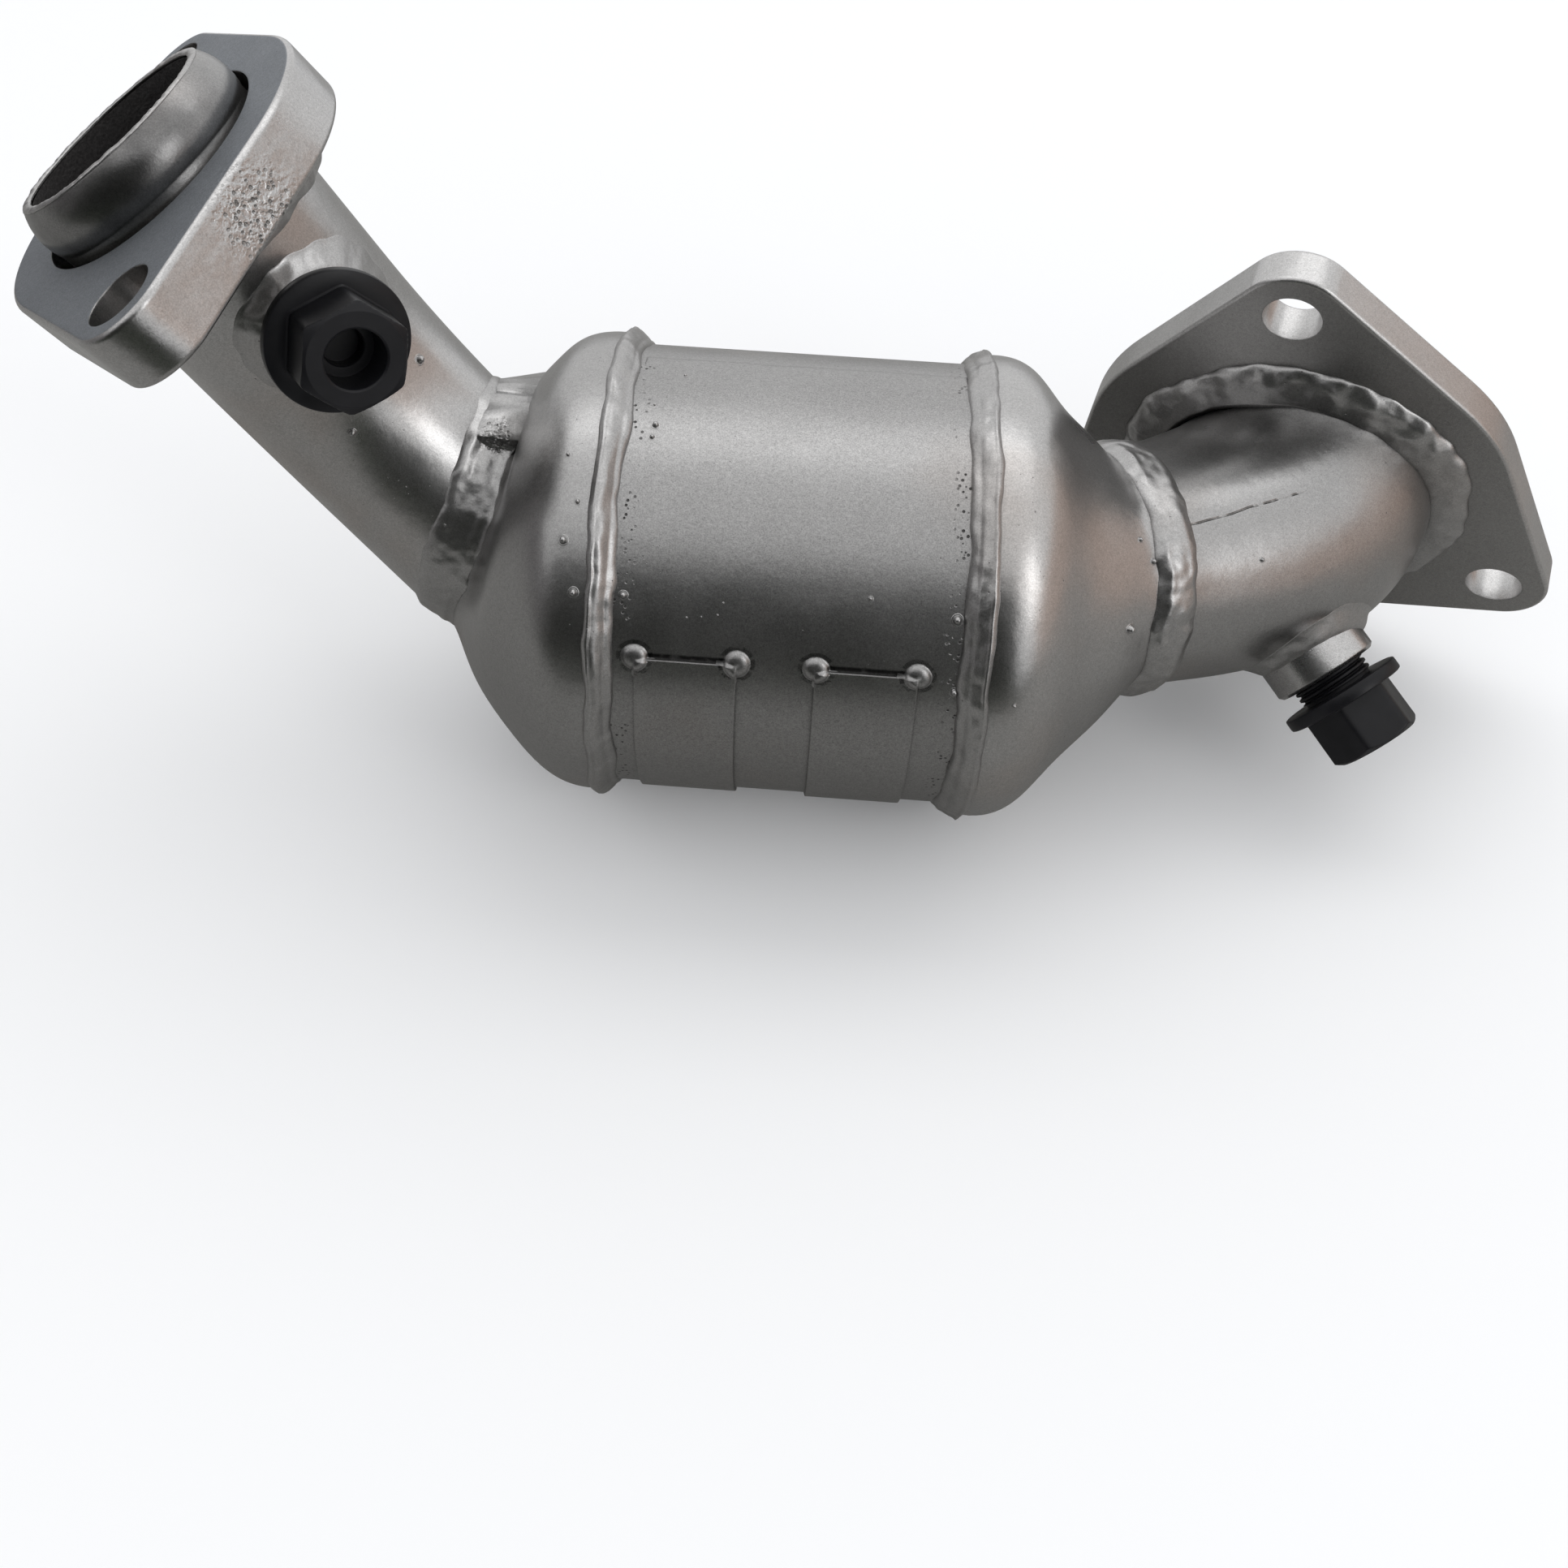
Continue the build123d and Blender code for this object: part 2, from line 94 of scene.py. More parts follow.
INLET_AXIS = unit(70.7, 14.5)
INLET_NECK_AXIS = unit(15.7, -4.0)
INLET_KNEE = INLET_FLANGE - INLET_AXIS * INLET_RUN
OUTLET_AXIS = unit(192.3, 55.8)
OUTLET_NECK_AXIS = unit(177.8, 18.8)
OUTLET_FIRST = (OUTLET_KNEE - OUTLET_NECK).normalized()
SLEEVE_AXIS = unit(182.7, 53.6)
SLEEVE_ROOT = OUTLET_FLANGE + (SLEEVE_AXIS - OUTLET_AXIS) * (OUTLET_PLATE / 2)
OUTLET_TURN = SLEEVE_ROOT - SLEEVE_AXIS * (OUTLET_PLATE / 2 + 2.0)
INLET_BOSS_AXIS = unit(-49.4, -25.8)
INLET_BOSS_ROOT = INLET_FLANGE - Vector((17.74, 18.66, 2.59))
INLET_BOSS_REACH = 40.0
OUTLET_BOSS_AXIS = unit(-55.8, 16.9)
OUTLET_BOSS_ROOT = OUTLET_KNEE + Vector((-7.01, -2.88, 23.5))
OUTLET_BOSS_REACH = 32.0
ORIGIN = INLET_FLANGE + INLET_AXIS * INLET_PLATE


def here(point):
    """A point of the source's frame, in millimetres, as a point of this scene."""
    return (Vector(point) - ORIGIN) * MM


# The camera of the photograph: its place, its three directions and its picture in pixels

CAMERA = here((2.43, -251.87, 251.87))
SIDE = Vector((0.9971, 0.0709, 0.0260)).normalized()
UP = Vector((-0.0668, 0.6664, 0.7426))
UP = (UP - SIDE * UP.dot(SIDE)).normalized()
BACK = SIDE.cross(UP)
FOCAL = 1863.3
PICTURE = 1932.0
MIDDLE = (931.5, 603.2)

# Pixels of the photograph at which single marks lie

RIM_PIXEL = (322, 262)
NECK_PIXEL = (616, 538)
SCRATCH_PIXELS = ((1463, 648), (1612, 604))

# Lumps of the welds: pixel across, pixel down, radius, height

INLET_SEAM_LUMPS = [
    (1187, 592, 2.4, 1.3), (1182, 722, 2.6, 1.4), (1183, 460, 3.0, 0.8), (1160, 940, 3.5, 0.9),
    (1190, 690, 1.6, 0.6),
]
OUTLET_SEAM_LUMPS = [(800, 480, 3.2, 0.8), (788, 440, 3.0, 0.6), (756, 740, 1.6, 0.4), (762, 860, 2.2, 0.6)]
OUTLET_NECK_LUMPS = [(612, 506, 3.2, 0.7), (628, 500, 3.0, 0.5), (588, 540, 1.8, 0.6), (566, 640, 2.4, 0.5)]

# Beads of spatter, listed one by one: pixel across, pixel down, radius

SPATTER = [
    (706, 730, 0.8), (768, 733, 0.7), (549, 645, 0.8), (558, 735, 0.8), (694, 665, 0.8), (517, 443, 0.9),
    (846, 761, 0.2), (864, 760, 0.15), (884, 758, 0.2), (891, 743, 0.2), (1073, 738, 0.42), (1405, 665, 0.5),
    (1421, 692, 0.6), (1180, 764, 0.9), (1176, 853, 0.7), (745, 838, 0.8), (736, 590, 0.4), (434, 533, 0.7),
    (700, 560, 0.4), (712, 618, 0.5), (1250, 870, 0.4), (1392, 775, 0.9), (1555, 690, 0.5), (1452, 640, 0.5),
]
SPATTER_POOL = 0.06
SPATTER_MORE = 34
SPATTER_SEED = 11


def seen_at(x, y, skin):
    """Place and outward direction of the surface that the photograph shows at a pixel."""
    ray = SIDE * ((x - MIDDLE[0]) / FOCAL) + UP * ((MIDDLE[1] - y) / FOCAL) - BACK
    place, normal, _, _ = skin.ray_cast(CAMERA, ray.normalized())
    if place is None:
        raise ValueError(f"nothing at pixel {x}, {y}")
    return place, normal


def skin_of(*names):
    """One search tree over the meshes of several nodes."""
    points, faces = [], []
    for name in names:
        mesh = nodes[name].data
        start = len(points)
        points.extend(v.co.copy() for v in mesh.vertices)
        faces.extend([start + i for i in f.vertices] for f in mesh.polygons)
    return BVHTree.FromPolygons(points, faces)


# Materials

TINT = (1.0, 0.99, 0.985)
DUST = (0.88, 0.74, 0.65)
GRIME = (0.05, 0.045, 0.04, 1.0)
WARM_STEEL = (0.37, 0.365, 0.36)
COLD_STEEL = (0.235, 0.25, 0.27)


class Finish:
    """A small helper that builds one node material."""

    def __init__(self, name):
        self.material = bpy.data.materials.new(name)
        self.material.use_nodes = True
        self.tree = self.material.node_tree
        self.tree.nodes.clear()
        self.where = self.add("TexCoord").outputs["Object"]

    def put(self, socket, value):
        if isinstance(value, bpy.types.NodeSocket):
            self.tree.links.new(value, socket)
        elif isinstance(value, Vector):
            socket.default_value = tuple(value)
        else:
            socket.default_value = value

    def add(self, kind, settings=None, **inputs):
        node = self.tree.nodes.new("ShaderNode" + kind)
        for key, value in (settings or {}).items():
            setattr(node, key, value)
        for key, value in inputs.items():
            self.put(node.inputs[key.replace("_", " ")], value)
        return node

    def math(self, kind, first, second=0.0):
        node = self.add("Math", {"operation": kind})
        self.put(node.inputs[0], first)
        self.put(node.inputs[1], second)
        return node.outputs[0]

    def total(self, *parts):
        value = parts[0]
        for part in parts[1:]:
            value = self.math("ADD", value, part)
        return value

    def times(self, *parts):
        value = parts[0]
        for part in parts[1:]:
            value = self.math("MULTIPLY", value, part)
        return value

    def swing(self, value, size):
        """A value between zero and one, moved to swing about zero and made larger or smaller."""
        return self.times(self.math("SUBTRACT", value, 0.5), size)

    def darker(self, tone, share):
        """A tone less a share of itself."""
        return self.times(tone, self.math("SUBTRACT", 1.0, share))

    def off(self, value, middle):
        """How far a value lies from a middle, either way."""
        return self.math("ABSOLUTE", self.math("SUBTRACT", value, middle))

    def vector(self, kind, first, second, out="Vector"):
        node = self.add("VectorMath", {"operation": kind})
        self.put(node.inputs[0], first)
        self.put(node.inputs[1], second)
        return node.outputs[out]

    def along(self, place, way):
        """How far a place lies along a direction."""
        return self.vector("DOT_PRODUCT", place, way, "Value")

    def scale(self, colour, amount):
        node = self.add("VectorMath", {"operation": "SCALE"}, Scale=amount)
        self.put(node.inputs[0], colour)
        return node.outputs["Vector"]

    def mix(self, share, first, second):
        node = self.add("Mix", {"data_type": "RGBA"})
        self.put(node.inputs[0], share)
        self.put(node.inputs[6], first)
        self.put(node.inputs[7], second)
        return node.outputs[2]

    def noise(self, scale, detail=2.0, stretch=None):
        place = self.where
        if stretch:
            place = self.vector("MULTIPLY", place, Vector(stretch))
        node = self.add("TexNoise", Vector=place, Scale=scale, Detail=detail)
        return node.outputs[0]

    def step(self, value, low, high, start=0.0, end=1.0):
        """Goes smoothly from start to end as a value goes from low to high."""
        settings = {"interpolation_type": "SMOOTHSTEP"}
        span = {"From_Min": low, "From_Max": high, "To_Min": start, "To_Max": end}
        node = self.add("MapRange", settings, Value=value, **span)
        return node.outputs[0]

    def fall(self, value, low, high):
        """Goes smoothly from one to zero as a value goes from low to high."""
        return self.step(value, low, high, 1.0, 0.0)

    def specks(self, scale, size):
        """Ones inside small scattered spots, zeros outside them."""
        node = self.add("TexVoronoi", Vector=self.where, Scale=scale)
        return self.fall(node.outputs["Distance"], size * 0.6, size)

    def near(self, centre, inner, outer):
        """One near a point, falling to zero at the outer distance."""
        gap = self.vector("SUBTRACT", self.where, centre)
        far = self.vector("LENGTH", gap, (0.0, 0.0, 0.0), "Value")
        return self.fall(far, inner, outer)

    def finish(self, colour, rough, height, metallic=1.0, edge=0.0, **extra):
        """Shader with a height in millimetres and, where asked, softly rounded edges."""
        bump = self.add("Bump", Height=height, Distance=MM, Strength=1.0)
        if edge:
            round_edge = self.add("Bevel", {"samples": 4}, Radius=edge * MM)
            self.put(bump.inputs["Normal"], round_edge.outputs[0])
        look = {"Base_Color": colour, "Roughness": rough, "Normal": bump.outputs[0], "Metallic": metallic}
        shader = self.add("BsdfPrincipled", **look, **extra)
        out = self.add("OutputMaterial")
        self.put(out.inputs["Surface"], shader.outputs[0])
        return self.material


def burnt_seams(f, amount):
    """Dark pits in the strips beside the can's two seams."""
    inlet_strip, outlet_strip = SEAM - 4.3, 4.0 - SEAM
    inner, outer = 0.8 * MM, 4.0 * MM
    x = f.add("SeparateXYZ", Vector=f.where).outputs["X"]
    inlet = f.off(x, here((inlet_strip, 0, 0)).x)
    outlet = f.off(x, here((outlet_strip, 0, 0)).x)
    close = f.fall(f.math("MINIMUM", inlet, outlet), inner, outer)
    return f.times(close, f.specks(760, 0.30), f.step(f.noise(85, 2.0), 0.42, 0.54), amount)


def painted_plate_shadow(f):
    """Painted shadow: a dark broken line along the upper edge of each plate, between its tacks, where the
    plate's raised edge shades the can.
    """
    lift, thin, thick = 0.6 * MM, 0.2 * MM, 0.8 * MM
    half, end = 7.8 * MM, 8.4 * MM
    under, skin = 45.0 * MM, 49.0 * MM
    turn = math.radians(PLATE_ANGLES[0])
    out = Vector((0, math.cos(turn), math.sin(turn)))
    over = Vector((0, math.sin(turn), -math.cos(turn)))
    gap = f.vector("SUBTRACT", f.where, here((0, 0, 0)))
    x = f.add("SeparateXYZ", Vector=gap).outputs["X"]
    above = f.off(f.along(gap, over), lift)
    front = f.step(f.along(gap, out), under, skin)
    beside = [f.fall(f.off(x, middle * MM), half, end) for middle in PLATE_MIDDLES]
    broken = f.step(f.noise(300, 2.0), 0.3, 0.5, 0.5, 1.0)
    return f.times(f.fall(above, thin, thick), front, f.total(*beside), broken)


def smoke(f):
    """Soot on what stands out past the face of the outlet flange."""
    past = f.along(f.vector("SUBTRACT", f.where, here(OUTLET_FLANGE)), OUTLET_AXIS)
    return f.times(f.step(past, -1.0 * MM, 2.0 * MM), f.step(f.noise(60, 3.0), 0.3, 0.7, 0.7, 0.35))


def eaten_patch(f, place, inner, outer):
    """Dents, holes and hammering round one point."""
    dents = f.times(f.near(place, inner, outer), f.step(f.noise(760, 2.0), 0.35, 0.65))
    eaten = f.times(f.near(place, inner, outer), f.specks(700, 0.34))
    hammered = f.times(f.near(place, inner, outer * 1.8), f.noise(260, 2.0))
    return dents, eaten, hammered


def scratch_line(f, start, end, out):
    """Thin wavering line from one point to another, on one side of the pipe only."""
    thin, thick = 0.08 * MM, 0.32 * MM
    sway = 1.2 * MM
    deep, shallow = -16.0 * MM, -12.0 * MM
    run = end - start
    gap = f.vector("SUBTRACT", f.where, start)
    share = f.math("DIVIDE", f.along(gap, run.normalized()), run.length)
    aside = f.total(f.along(gap, run.cross(out).normalized()), f.swing(f.noise(90, 2.0), sway))
    line = f.fall(f.math("ABSOLUTE", aside), thin, thick)
    ends = f.times(f.step(share, 0.0, 0.05), f.fall(share, 0.95, 1.0))
    broken = f.step(f.noise(260, 2.0), 0.38, 0.55, 0.25, 1.0)
    return f.times(line, ends, f.step(f.along(gap, out), deep, shallow), broken)


def silver(
    name, shade, rough=0.34, grain=1.0, peel=1.0, wave=1.0, pits=0.4, dirt=0.25, edge=0.5,
    flat_axis=None, flat_look=None, patch=None, seams=0.0, scratch=None, plates=False, sooty=False,
):
    """Sprayed silver heat paint: fine grain, orange peel, pits, dull and dusty places, with painted shade in
    crevices and, where asked, a painted shadow along the plates' upper edges.
    """
    f = Finish(name)
    fine = f.noise(3600, 1.0)
    coarse = f.noise(1300, 1.0)
    cloud = f.noise(34, 4.0)
    brush = f.noise(120, 3.0, stretch=(1.0, 4.0, 0.7))
    dull = f.step(f.noise(17, 3.0), 0.52, 0.72)
    tone = f.total(
        f.swing(fine, 0.70 * grain),
        f.swing(coarse, 0.26 * grain),
        f.swing(cloud, 0.16),
        f.swing(brush, 0.08),
        1.0,
    )
    spots = f.math("MAXIMUM", f.specks(210, 0.05), f.specks(520, 0.07))
    scattered = f.times(spots, f.step(f.noise(55, 2.0), 0.5, 0.62), pits)
    if seams:
        scattered = f.math("MAXIMUM", scattered, burnt_seams(f, seams))
    tone = f.darker(tone, f.times(scattered, 0.75))
    # Painted shade: ambient occlusion darkens the paint's colour in crevices, corners and at the toes of
    # welds.
    occlusion_for_painted_shade = f.add("AmbientOcclusion", {"samples": 4}, Distance=1.6 * MM).outputs["AO"]
    tone = f.times(tone, f.step(occlusion_for_painted_shade, 0.25, 0.85, 0.35, 1.0))
    # Painted shadow along the plates' upper edges, darkening the can's colour.
    if plates:
        tone = f.darker(tone, f.times(painted_plate_shadow(f), 0.85))
    if sooty:
        tone = f.darker(tone, smoke(f))
    light = tuple(shade * t for t in TINT) + (1.0,)
    dusty = tuple(shade * t for t in DUST) + (1.0,)
    colour = f.scale(f.mix(f.times(dull, dirt), light, dusty), tone)
    height = f.total(
        f.times(fine, 0.010 * grain),
        f.times(coarse, 0.012 * peel),
        f.times(f.noise(420, 2.0), 0.035 * peel),
        f.times(f.noise(70, 2.0), 0.16 * wave),
        f.times(scattered, -0.12),
    )
    rough_value = f.total(
        f.times(f.noise(90, 3.0), 0.14),
        f.times(dull, 0.12),
        f.times(scattered, 0.25),
        rough - 0.07,
    )
    if patch:
        dents, eaten, hammered = eaten_patch(f, *patch)
        height = f.total(height, f.times(dents, 0.16), f.times(eaten, -0.20), f.times(hammered, 0.28))
        rough_value = f.total(rough_value, f.times(eaten, 0.15))
        colour = f.mix(f.times(eaten, 0.55), colour, GRIME)
    if flat_axis is not None:
        bare, dulled = flat_look
        normal = f.add("NewGeometry").outputs["True Normal"]
        face = f.step(f.along(normal, flat_axis), 0.95, 0.99)
        colour = f.mix(face, colour, f.scale(bare, tone))
        rough_value = f.total(rough_value, f.times(face, dulled))
    if scratch:
        line = scratch_line(f, *scratch)
        height = f.total(height, f.times(line, -0.18))
        colour = f.mix(f.times(line, 0.7), colour, GRIME)
    return f.finish(colour, rough_value, height, edge=edge)


def soot(name):
    """Dark gritty inside of a used pipe."""
    f = Finish(name)
    grit = f.noise(1500, 3.0)
    clumps = f.noise(380, 3.0)
    colour = f.mix(grit, (0.012, 0.011, 0.011, 1.0), (0.075, 0.070, 0.068, 1.0))
    height = f.total(f.times(grit, 0.25), f.times(clumps, 0.35))
    return f.finish(colour, f.step(clumps, 0.3, 0.7, 0.7, 0.95), height, metallic=0.2)


def black_oxide(name):
    """Blackened steel of the plugs."""
    f = Finish(name)
    fine = f.noise(2600, 2.0)
    cloud = f.noise(160, 3.0)
    turned = f.noise(900, 2.0, stretch=(1.0, 0.15, 1.0))
    colour = f.mix(cloud, (0.003, 0.003, 0.004, 1.0), (0.013, 0.013, 0.015, 1.0))
    height = f.total(f.times(fine, 0.010), f.times(turned, 0.010))
    rough = f.total(f.times(cloud, 0.22), f.times(fine, 0.08), 0.22)
    return f.finish(colour, rough, height, metallic=0.0, edge=0.25, Specular_IOR_Level=0.24)


def ceramic(name):
    """Fired clay of the brick."""
    f = Finish(name)
    cloud = f.noise(60, 4.0)
    colour = f.mix(cloud, (0.30, 0.24, 0.17, 1.0), (0.52, 0.44, 0.33, 1.0))
    height = f.times(f.noise(1500, 3.0), 0.05)
    return f.finish(colour, f.step(cloud, 0.2, 0.8, 0.75, 0.95), height, metallic=0.0)


def fibre(name):
    """Pressed pale fibres of the mat."""
    f = Finish(name)
    hair = f.noise(700, 4.0, stretch=(1.0, 6.0, 1.0))
    colour = f.mix(hair, (0.50, 0.48, 0.44, 1.0), (0.78, 0.76, 0.70, 1.0))
    return f.finish(colour, f.step(hair, 0.2, 0.8, 0.8, 1.0), f.times(hair, 0.3), metallic=0.0)


def wire(name):
    """Knitted wire: a close weave of small loops."""
    f = Finish(name)
    diagonal = {"bands_direction": "DIAGONAL"}
    weave = f.add("TexWave", diagonal, Vector=f.where, Scale=420, Distortion=6.0, Detail=2.0)
    loops = weave.outputs["Fac"]
    colour = f.mix(loops, (0.04, 0.04, 0.04, 1.0), (0.42, 0.41, 0.39, 1.0))
    return f.finish(colour, f.step(loops, 0.0, 1.0, 0.6, 0.35), f.times(loops, 0.4))


SHADE = 0.34
ELBOW_SKIN = skin_of("inlet_elbow")
NECK_SKIN = skin_of("outlet_cone", "outlet_pipe", "outlet_neck_bead")
SCRATCH_START, _ = seen_at(*SCRATCH_PIXELS[0], ELBOW_SKIN)
SCRATCH_END, SCRATCH_OUT = seen_at(*SCRATCH_PIXELS[1], ELBOW_SKIN)
RIM_PATCH = (seen_at(*RIM_PIXEL, skin_of("outlet_flange"))[0], 4.0 * MM, 12.0 * MM)
NECK_PATCH = (seen_at(*NECK_PIXEL, skin_of("outlet_neck_bead", "outlet_cone"))[0], 2.0 * MM, 5.5 * MM)

# Painted light and shade: these silvers are one sprayed paint in lighter and darker copies, with the factor
# on SHADE set part by part to how brightly each part is lit.
can_paint = silver("can_paint", SHADE, rough=0.37, wave=0.25, pits=0.5, grain=1.3, seams=1.0, plates=True)
inlet_cone_paint = silver(
    "inlet_cone_paint", SHADE * 1.35, rough=0.30, wave=1.1, pits=0.6, seams=0.6, dirt=0.42,
)
outlet_cone_paint = silver(
    "outlet_cone_paint", SHADE * 1.12, rough=0.33, wave=0.9, pits=0.6, seams=0.4, dirt=0.4,
)
pipe_paint = silver("pipe_paint", SHADE * 1.4, rough=0.30, wave=0.9, pits=0.5, dirt=0.5, sooty=True)
elbow_paint = silver(
    "elbow_paint", SHADE * 1.1, rough=0.30, wave=0.9, pits=0.5, dirt=0.4,
    scratch=(SCRATCH_START, SCRATCH_END, SCRATCH_OUT),
)
# Painted highlight: the flange rims take lighter copies of the silver than their flat faces.
flange_paint = silver(
    "flange_paint", SHADE * 1.45, rough=0.33, wave=0.8, pits=0.5,
    flat_axis=-INLET_AXIS, flat_look=(WARM_STEEL, 0.06),
)
outlet_flange_paint = silver(
    "outlet_flange_paint", SHADE * 1.35, rough=0.29, wave=1.8, pits=0.5, dirt=0.6,
    flat_axis=OUTLET_AXIS, flat_look=(COLD_STEEL, 0.30), patch=RIM_PATCH,
)
weld_paint = silver(
    "weld_paint", SHADE * 1.2, rough=0.35, peel=2.0, wave=0.9, pits=1.0, edge=0.0, patch=NECK_PATCH,
)
boss_paint = silver("boss_paint", SHADE * 1.5, rough=0.26, wave=0.4, pits=0.3)
plate_paint = silver("plate_paint", SHADE, rough=0.37, wave=0.3, pits=0.4, grain=1.3)
plug_black = black_oxide("plug_black")
soot_black = soot("soot_black")
ceramic_paint = ceramic("ceramic")
fibre_paint = fibre("mat")
wire_paint = wire("mesh")

WEAR = {
    "shell": can_paint,
    "inlet_cone": inlet_cone_paint,
    "outlet_cone": outlet_cone_paint,
    "inlet_elbow": elbow_paint,
    "outlet_pipe": pipe_paint,
    "inlet_flange": flange_paint,
    "outlet_flange": outlet_flange_paint,
    "inlet_boss": boss_paint,
    "outlet_boss": boss_paint,
    "inlet_side_plate": plate_paint,
    "outlet_side_plate": plate_paint,
    "support_mat": fibre_paint,
    "inlet_mesh_ring": wire_paint,
    "outlet_mesh_ring": wire_paint,
}
for name, material in WEAR.items():
    for slot in nodes[name].material_slots:
        slot.material = material


# Making meshes

RING_SIDE = (0.0, 1.0, 0.3)
BLOB_SIDE = (0.31, 0.52, 0.79)


def piece(name, points, faces, material, replaces=(), smooth=True):
    """A new mesh that rides on the part and keeps inside its box."""
    mesh = bpy.data.meshes.new(name)
    low, high = cad_box
    inside = [tuple(min(max(p[k], low[k]), high[k]) for k in range(3)) for p in points]
    mesh.from_pydata(inside, [], faces)
    mesh.validate()
    work = bmesh.new()
    work.from_mesh(mesh)
    bmesh.ops.recalc_face_normals(work, faces=work.faces)
    work.to_mesh(mesh)
    work.free()
    for face in mesh.polygons:
        face.use_smooth = smooth
    mesh.materials.append(material)
    obj = bpy.data.objects.new(name, mesh)
    bpy.context.scene.collection.objects.link(obj)
    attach(obj, "root")
    if replaces:
        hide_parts(*replaces)
    return obj


def grid_faces(rows, columns, wrap_rows=True, wrap_columns=True):
    """Quads over a grid of points that may close on itself either way."""
    faces = []
    for i in range(rows if wrap_rows else rows - 1):
        for j in range(columns if wrap_columns else columns - 1):
            this, other = i * columns, (i + 1) % rows * columns
            n = (j + 1) % columns
            faces.append((this + j, this + n, other + n, other + j))
    return faces


def ways_round(axis, count, reference=RING_SIDE):
    """Angles and outward directions, evenly spaced round an axis from a side on."""
    first = (Vector(reference) - axis * axis.dot(Vector(reference))).normalized()
    second = axis.cross(first)
    ways = []
    for i in range(count):
        angle = TURN * i / count
        ways.append((angle, first * math.cos(angle) + second * math.sin(angle)))
    return ways


def rough(point, size, seed=0.0):
    """Smooth random number from -1 to 1 at a point, for features of a size in millimetres."""
    return noise.noise(point * (1000.0 / size) + Vector((seed, seed * 1.7, -seed)))


def ridge(u, middle, width):
    """Smooth hump of height one."""
    return math.exp(-(((u - middle) / width) ** 2))


def evened(row, fine):
    """Every so many values of a row, each as the mean of the values round it."""
    last = len(row) - 1
    means = []
    for j in range(0, last + 1, fine):
        span = min(6 * fine, j, last - j)
        part = row[j - span:j + span + 1]
        means.append(sum(part) / len(part))
    return means


def weld_band(
    name, hosts, centre, axis, offset, width, height, replaces, seed, shape, wander,
    lumps=(), girth=52.0, clear=9.0, count=520, columns=22,
):
    """Wavy weld that runs round an axis and lies on what it joins."""
    skin = skin_of(*hosts)
    reach, fine = girth + clear, 4
    turns, runs, levels = [], [], []
    for angle, out in ways_round(axis, count):
        guide = here(centre) + out * (girth * MM)
        shift = wander * rough(guide, 26, seed) + 0.45 * wander * rough(guide, 8, seed + 3)
        low = width / 2 * (1 + 0.22 * rough(guide, 11, seed + 5) + 0.10 * rough(guide, 4, seed + 6))
        high = width / 2 * (1 + 0.22 * rough(guide, 13, seed + 8) + 0.10 * rough(guide, 4, seed + 9))
        line, found = [], []
        for j in range(fine * columns + 1):
            u = -1 + 2 * j / (fine * columns)
            run = offset + shift + (low if u < 0 else high) * u
            start = here(centre + axis * run + out * reach)
            place, _, _, far = skin.ray_cast(start, -out, reach * MM)
            if place is not None:
                found.append(reach - far / MM)
            else:
                found.append(found[-1] if found else girth)
            if j % fine == 0:
                line.append(run)
        turns.append((angle, out, guide))
        runs.append(line)
        levels.append(evened(found, fine))
    points = []
    for i, (angle, out, guide) in enumerate(turns):
        bend = 0.40 * rough(guide, 22, seed + 15)
        fade = min(1.2, max(0.0, 0.55 + 1.0 * rough(guide, 20, seed + 16)))
        waver = 2 * rough(guide, 9, seed + 21)
        for j in range(columns + 1):
            u = -1 + 2 * j / columns
            level = sum(levels[(i + k) % count][j] for k in (-2, -1, 0, 1, 2)) / 5
            place = here(centre + axis * runs[i][j] + out * level)
            crown = max(0.0, 1 - abs(u) ** 2.4) ** 0.6
            swell = 1 + 0.18 * rough(place, 13, seed + 11) + 0.12 * rough(place, 5, seed + 13)
            ripple = math.sin(angle * girth / 1.6 + 2.5 * u * u + waver)
            small = 0.12 * rough(place, 2.2, seed + 17) + 0.05 * ripple
            rise = height * crown * (swell * (1 + (shape(u + bend) - 1) * fade) + small)
            for spot, radius, extra in lumps:
                far = (place - spot).length / (radius * MM)
                if far < 2.5:
                    rise += extra * math.exp(-far * far) * (0.3 + 0.7 * crown)
            points.append(place + out * ((rise - 0.35 * (1 - crown)) * MM))
        for j in (columns, 0):
            points.append(here(centre + axis * runs[i][j] + out * (levels[i][j] - 1.0)))
    return piece(name, points, grid_faces(count, columns + 3), weld_paint, replaces)


def lumps_at(rows, skin):
    """Place, radius and height of each lump."""
    return [(seen_at(x, y, skin)[0], radius, height) for x, y, radius, height in rows]


CAN_MIDDLE = Vector((0, 0, 0))
CAN_AXIS = Vector((1, 0, 0))
CAN_SKIN = skin_of("shell", "inlet_cone", "outlet_cone", "inlet_side_plate", "outlet_side_plate")

weld_band(
    "weld_inlet_seam", ("shell", "inlet_cone"), CAN_MIDDLE, CAN_AXIS, SEAM - 0.6, 6.6, 1.7,
    ("inlet_seam_bead",), 2.0, lambda u: 0.9 + 0.35 * ridge(u, -0.2, 0.4),
    0.9, lumps=lumps_at(INLET_SEAM_LUMPS, CAN_SKIN),
)
weld_band(
    "weld_outlet_seam", ("shell", "outlet_cone"), CAN_MIDDLE, -CAN_AXIS, SEAM - 0.2, 6.0, 1.5,
    ("outlet_seam_bead",), 7.0, lambda u: 0.85 + 0.45 * ridge(u, 0.1, 0.4),
    1.2, lumps=lumps_at(OUTLET_SEAM_LUMPS, CAN_SKIN),
)
weld_band(
    "weld_inlet_neck", ("inlet_cone", "inlet_elbow"), INLET_NECK, INLET_NECK_AXIS, 0.5, 10.5, 1.7,
    ("inlet_neck_bead",), 12.0, lambda u: 0.60 + 0.60 * ridge(u, 0.6, 0.25) + 0.45 * ridge(u, -0.6, 0.22),
    0.8, girth=31.0, clear=16.0, count=480, columns=26,
)
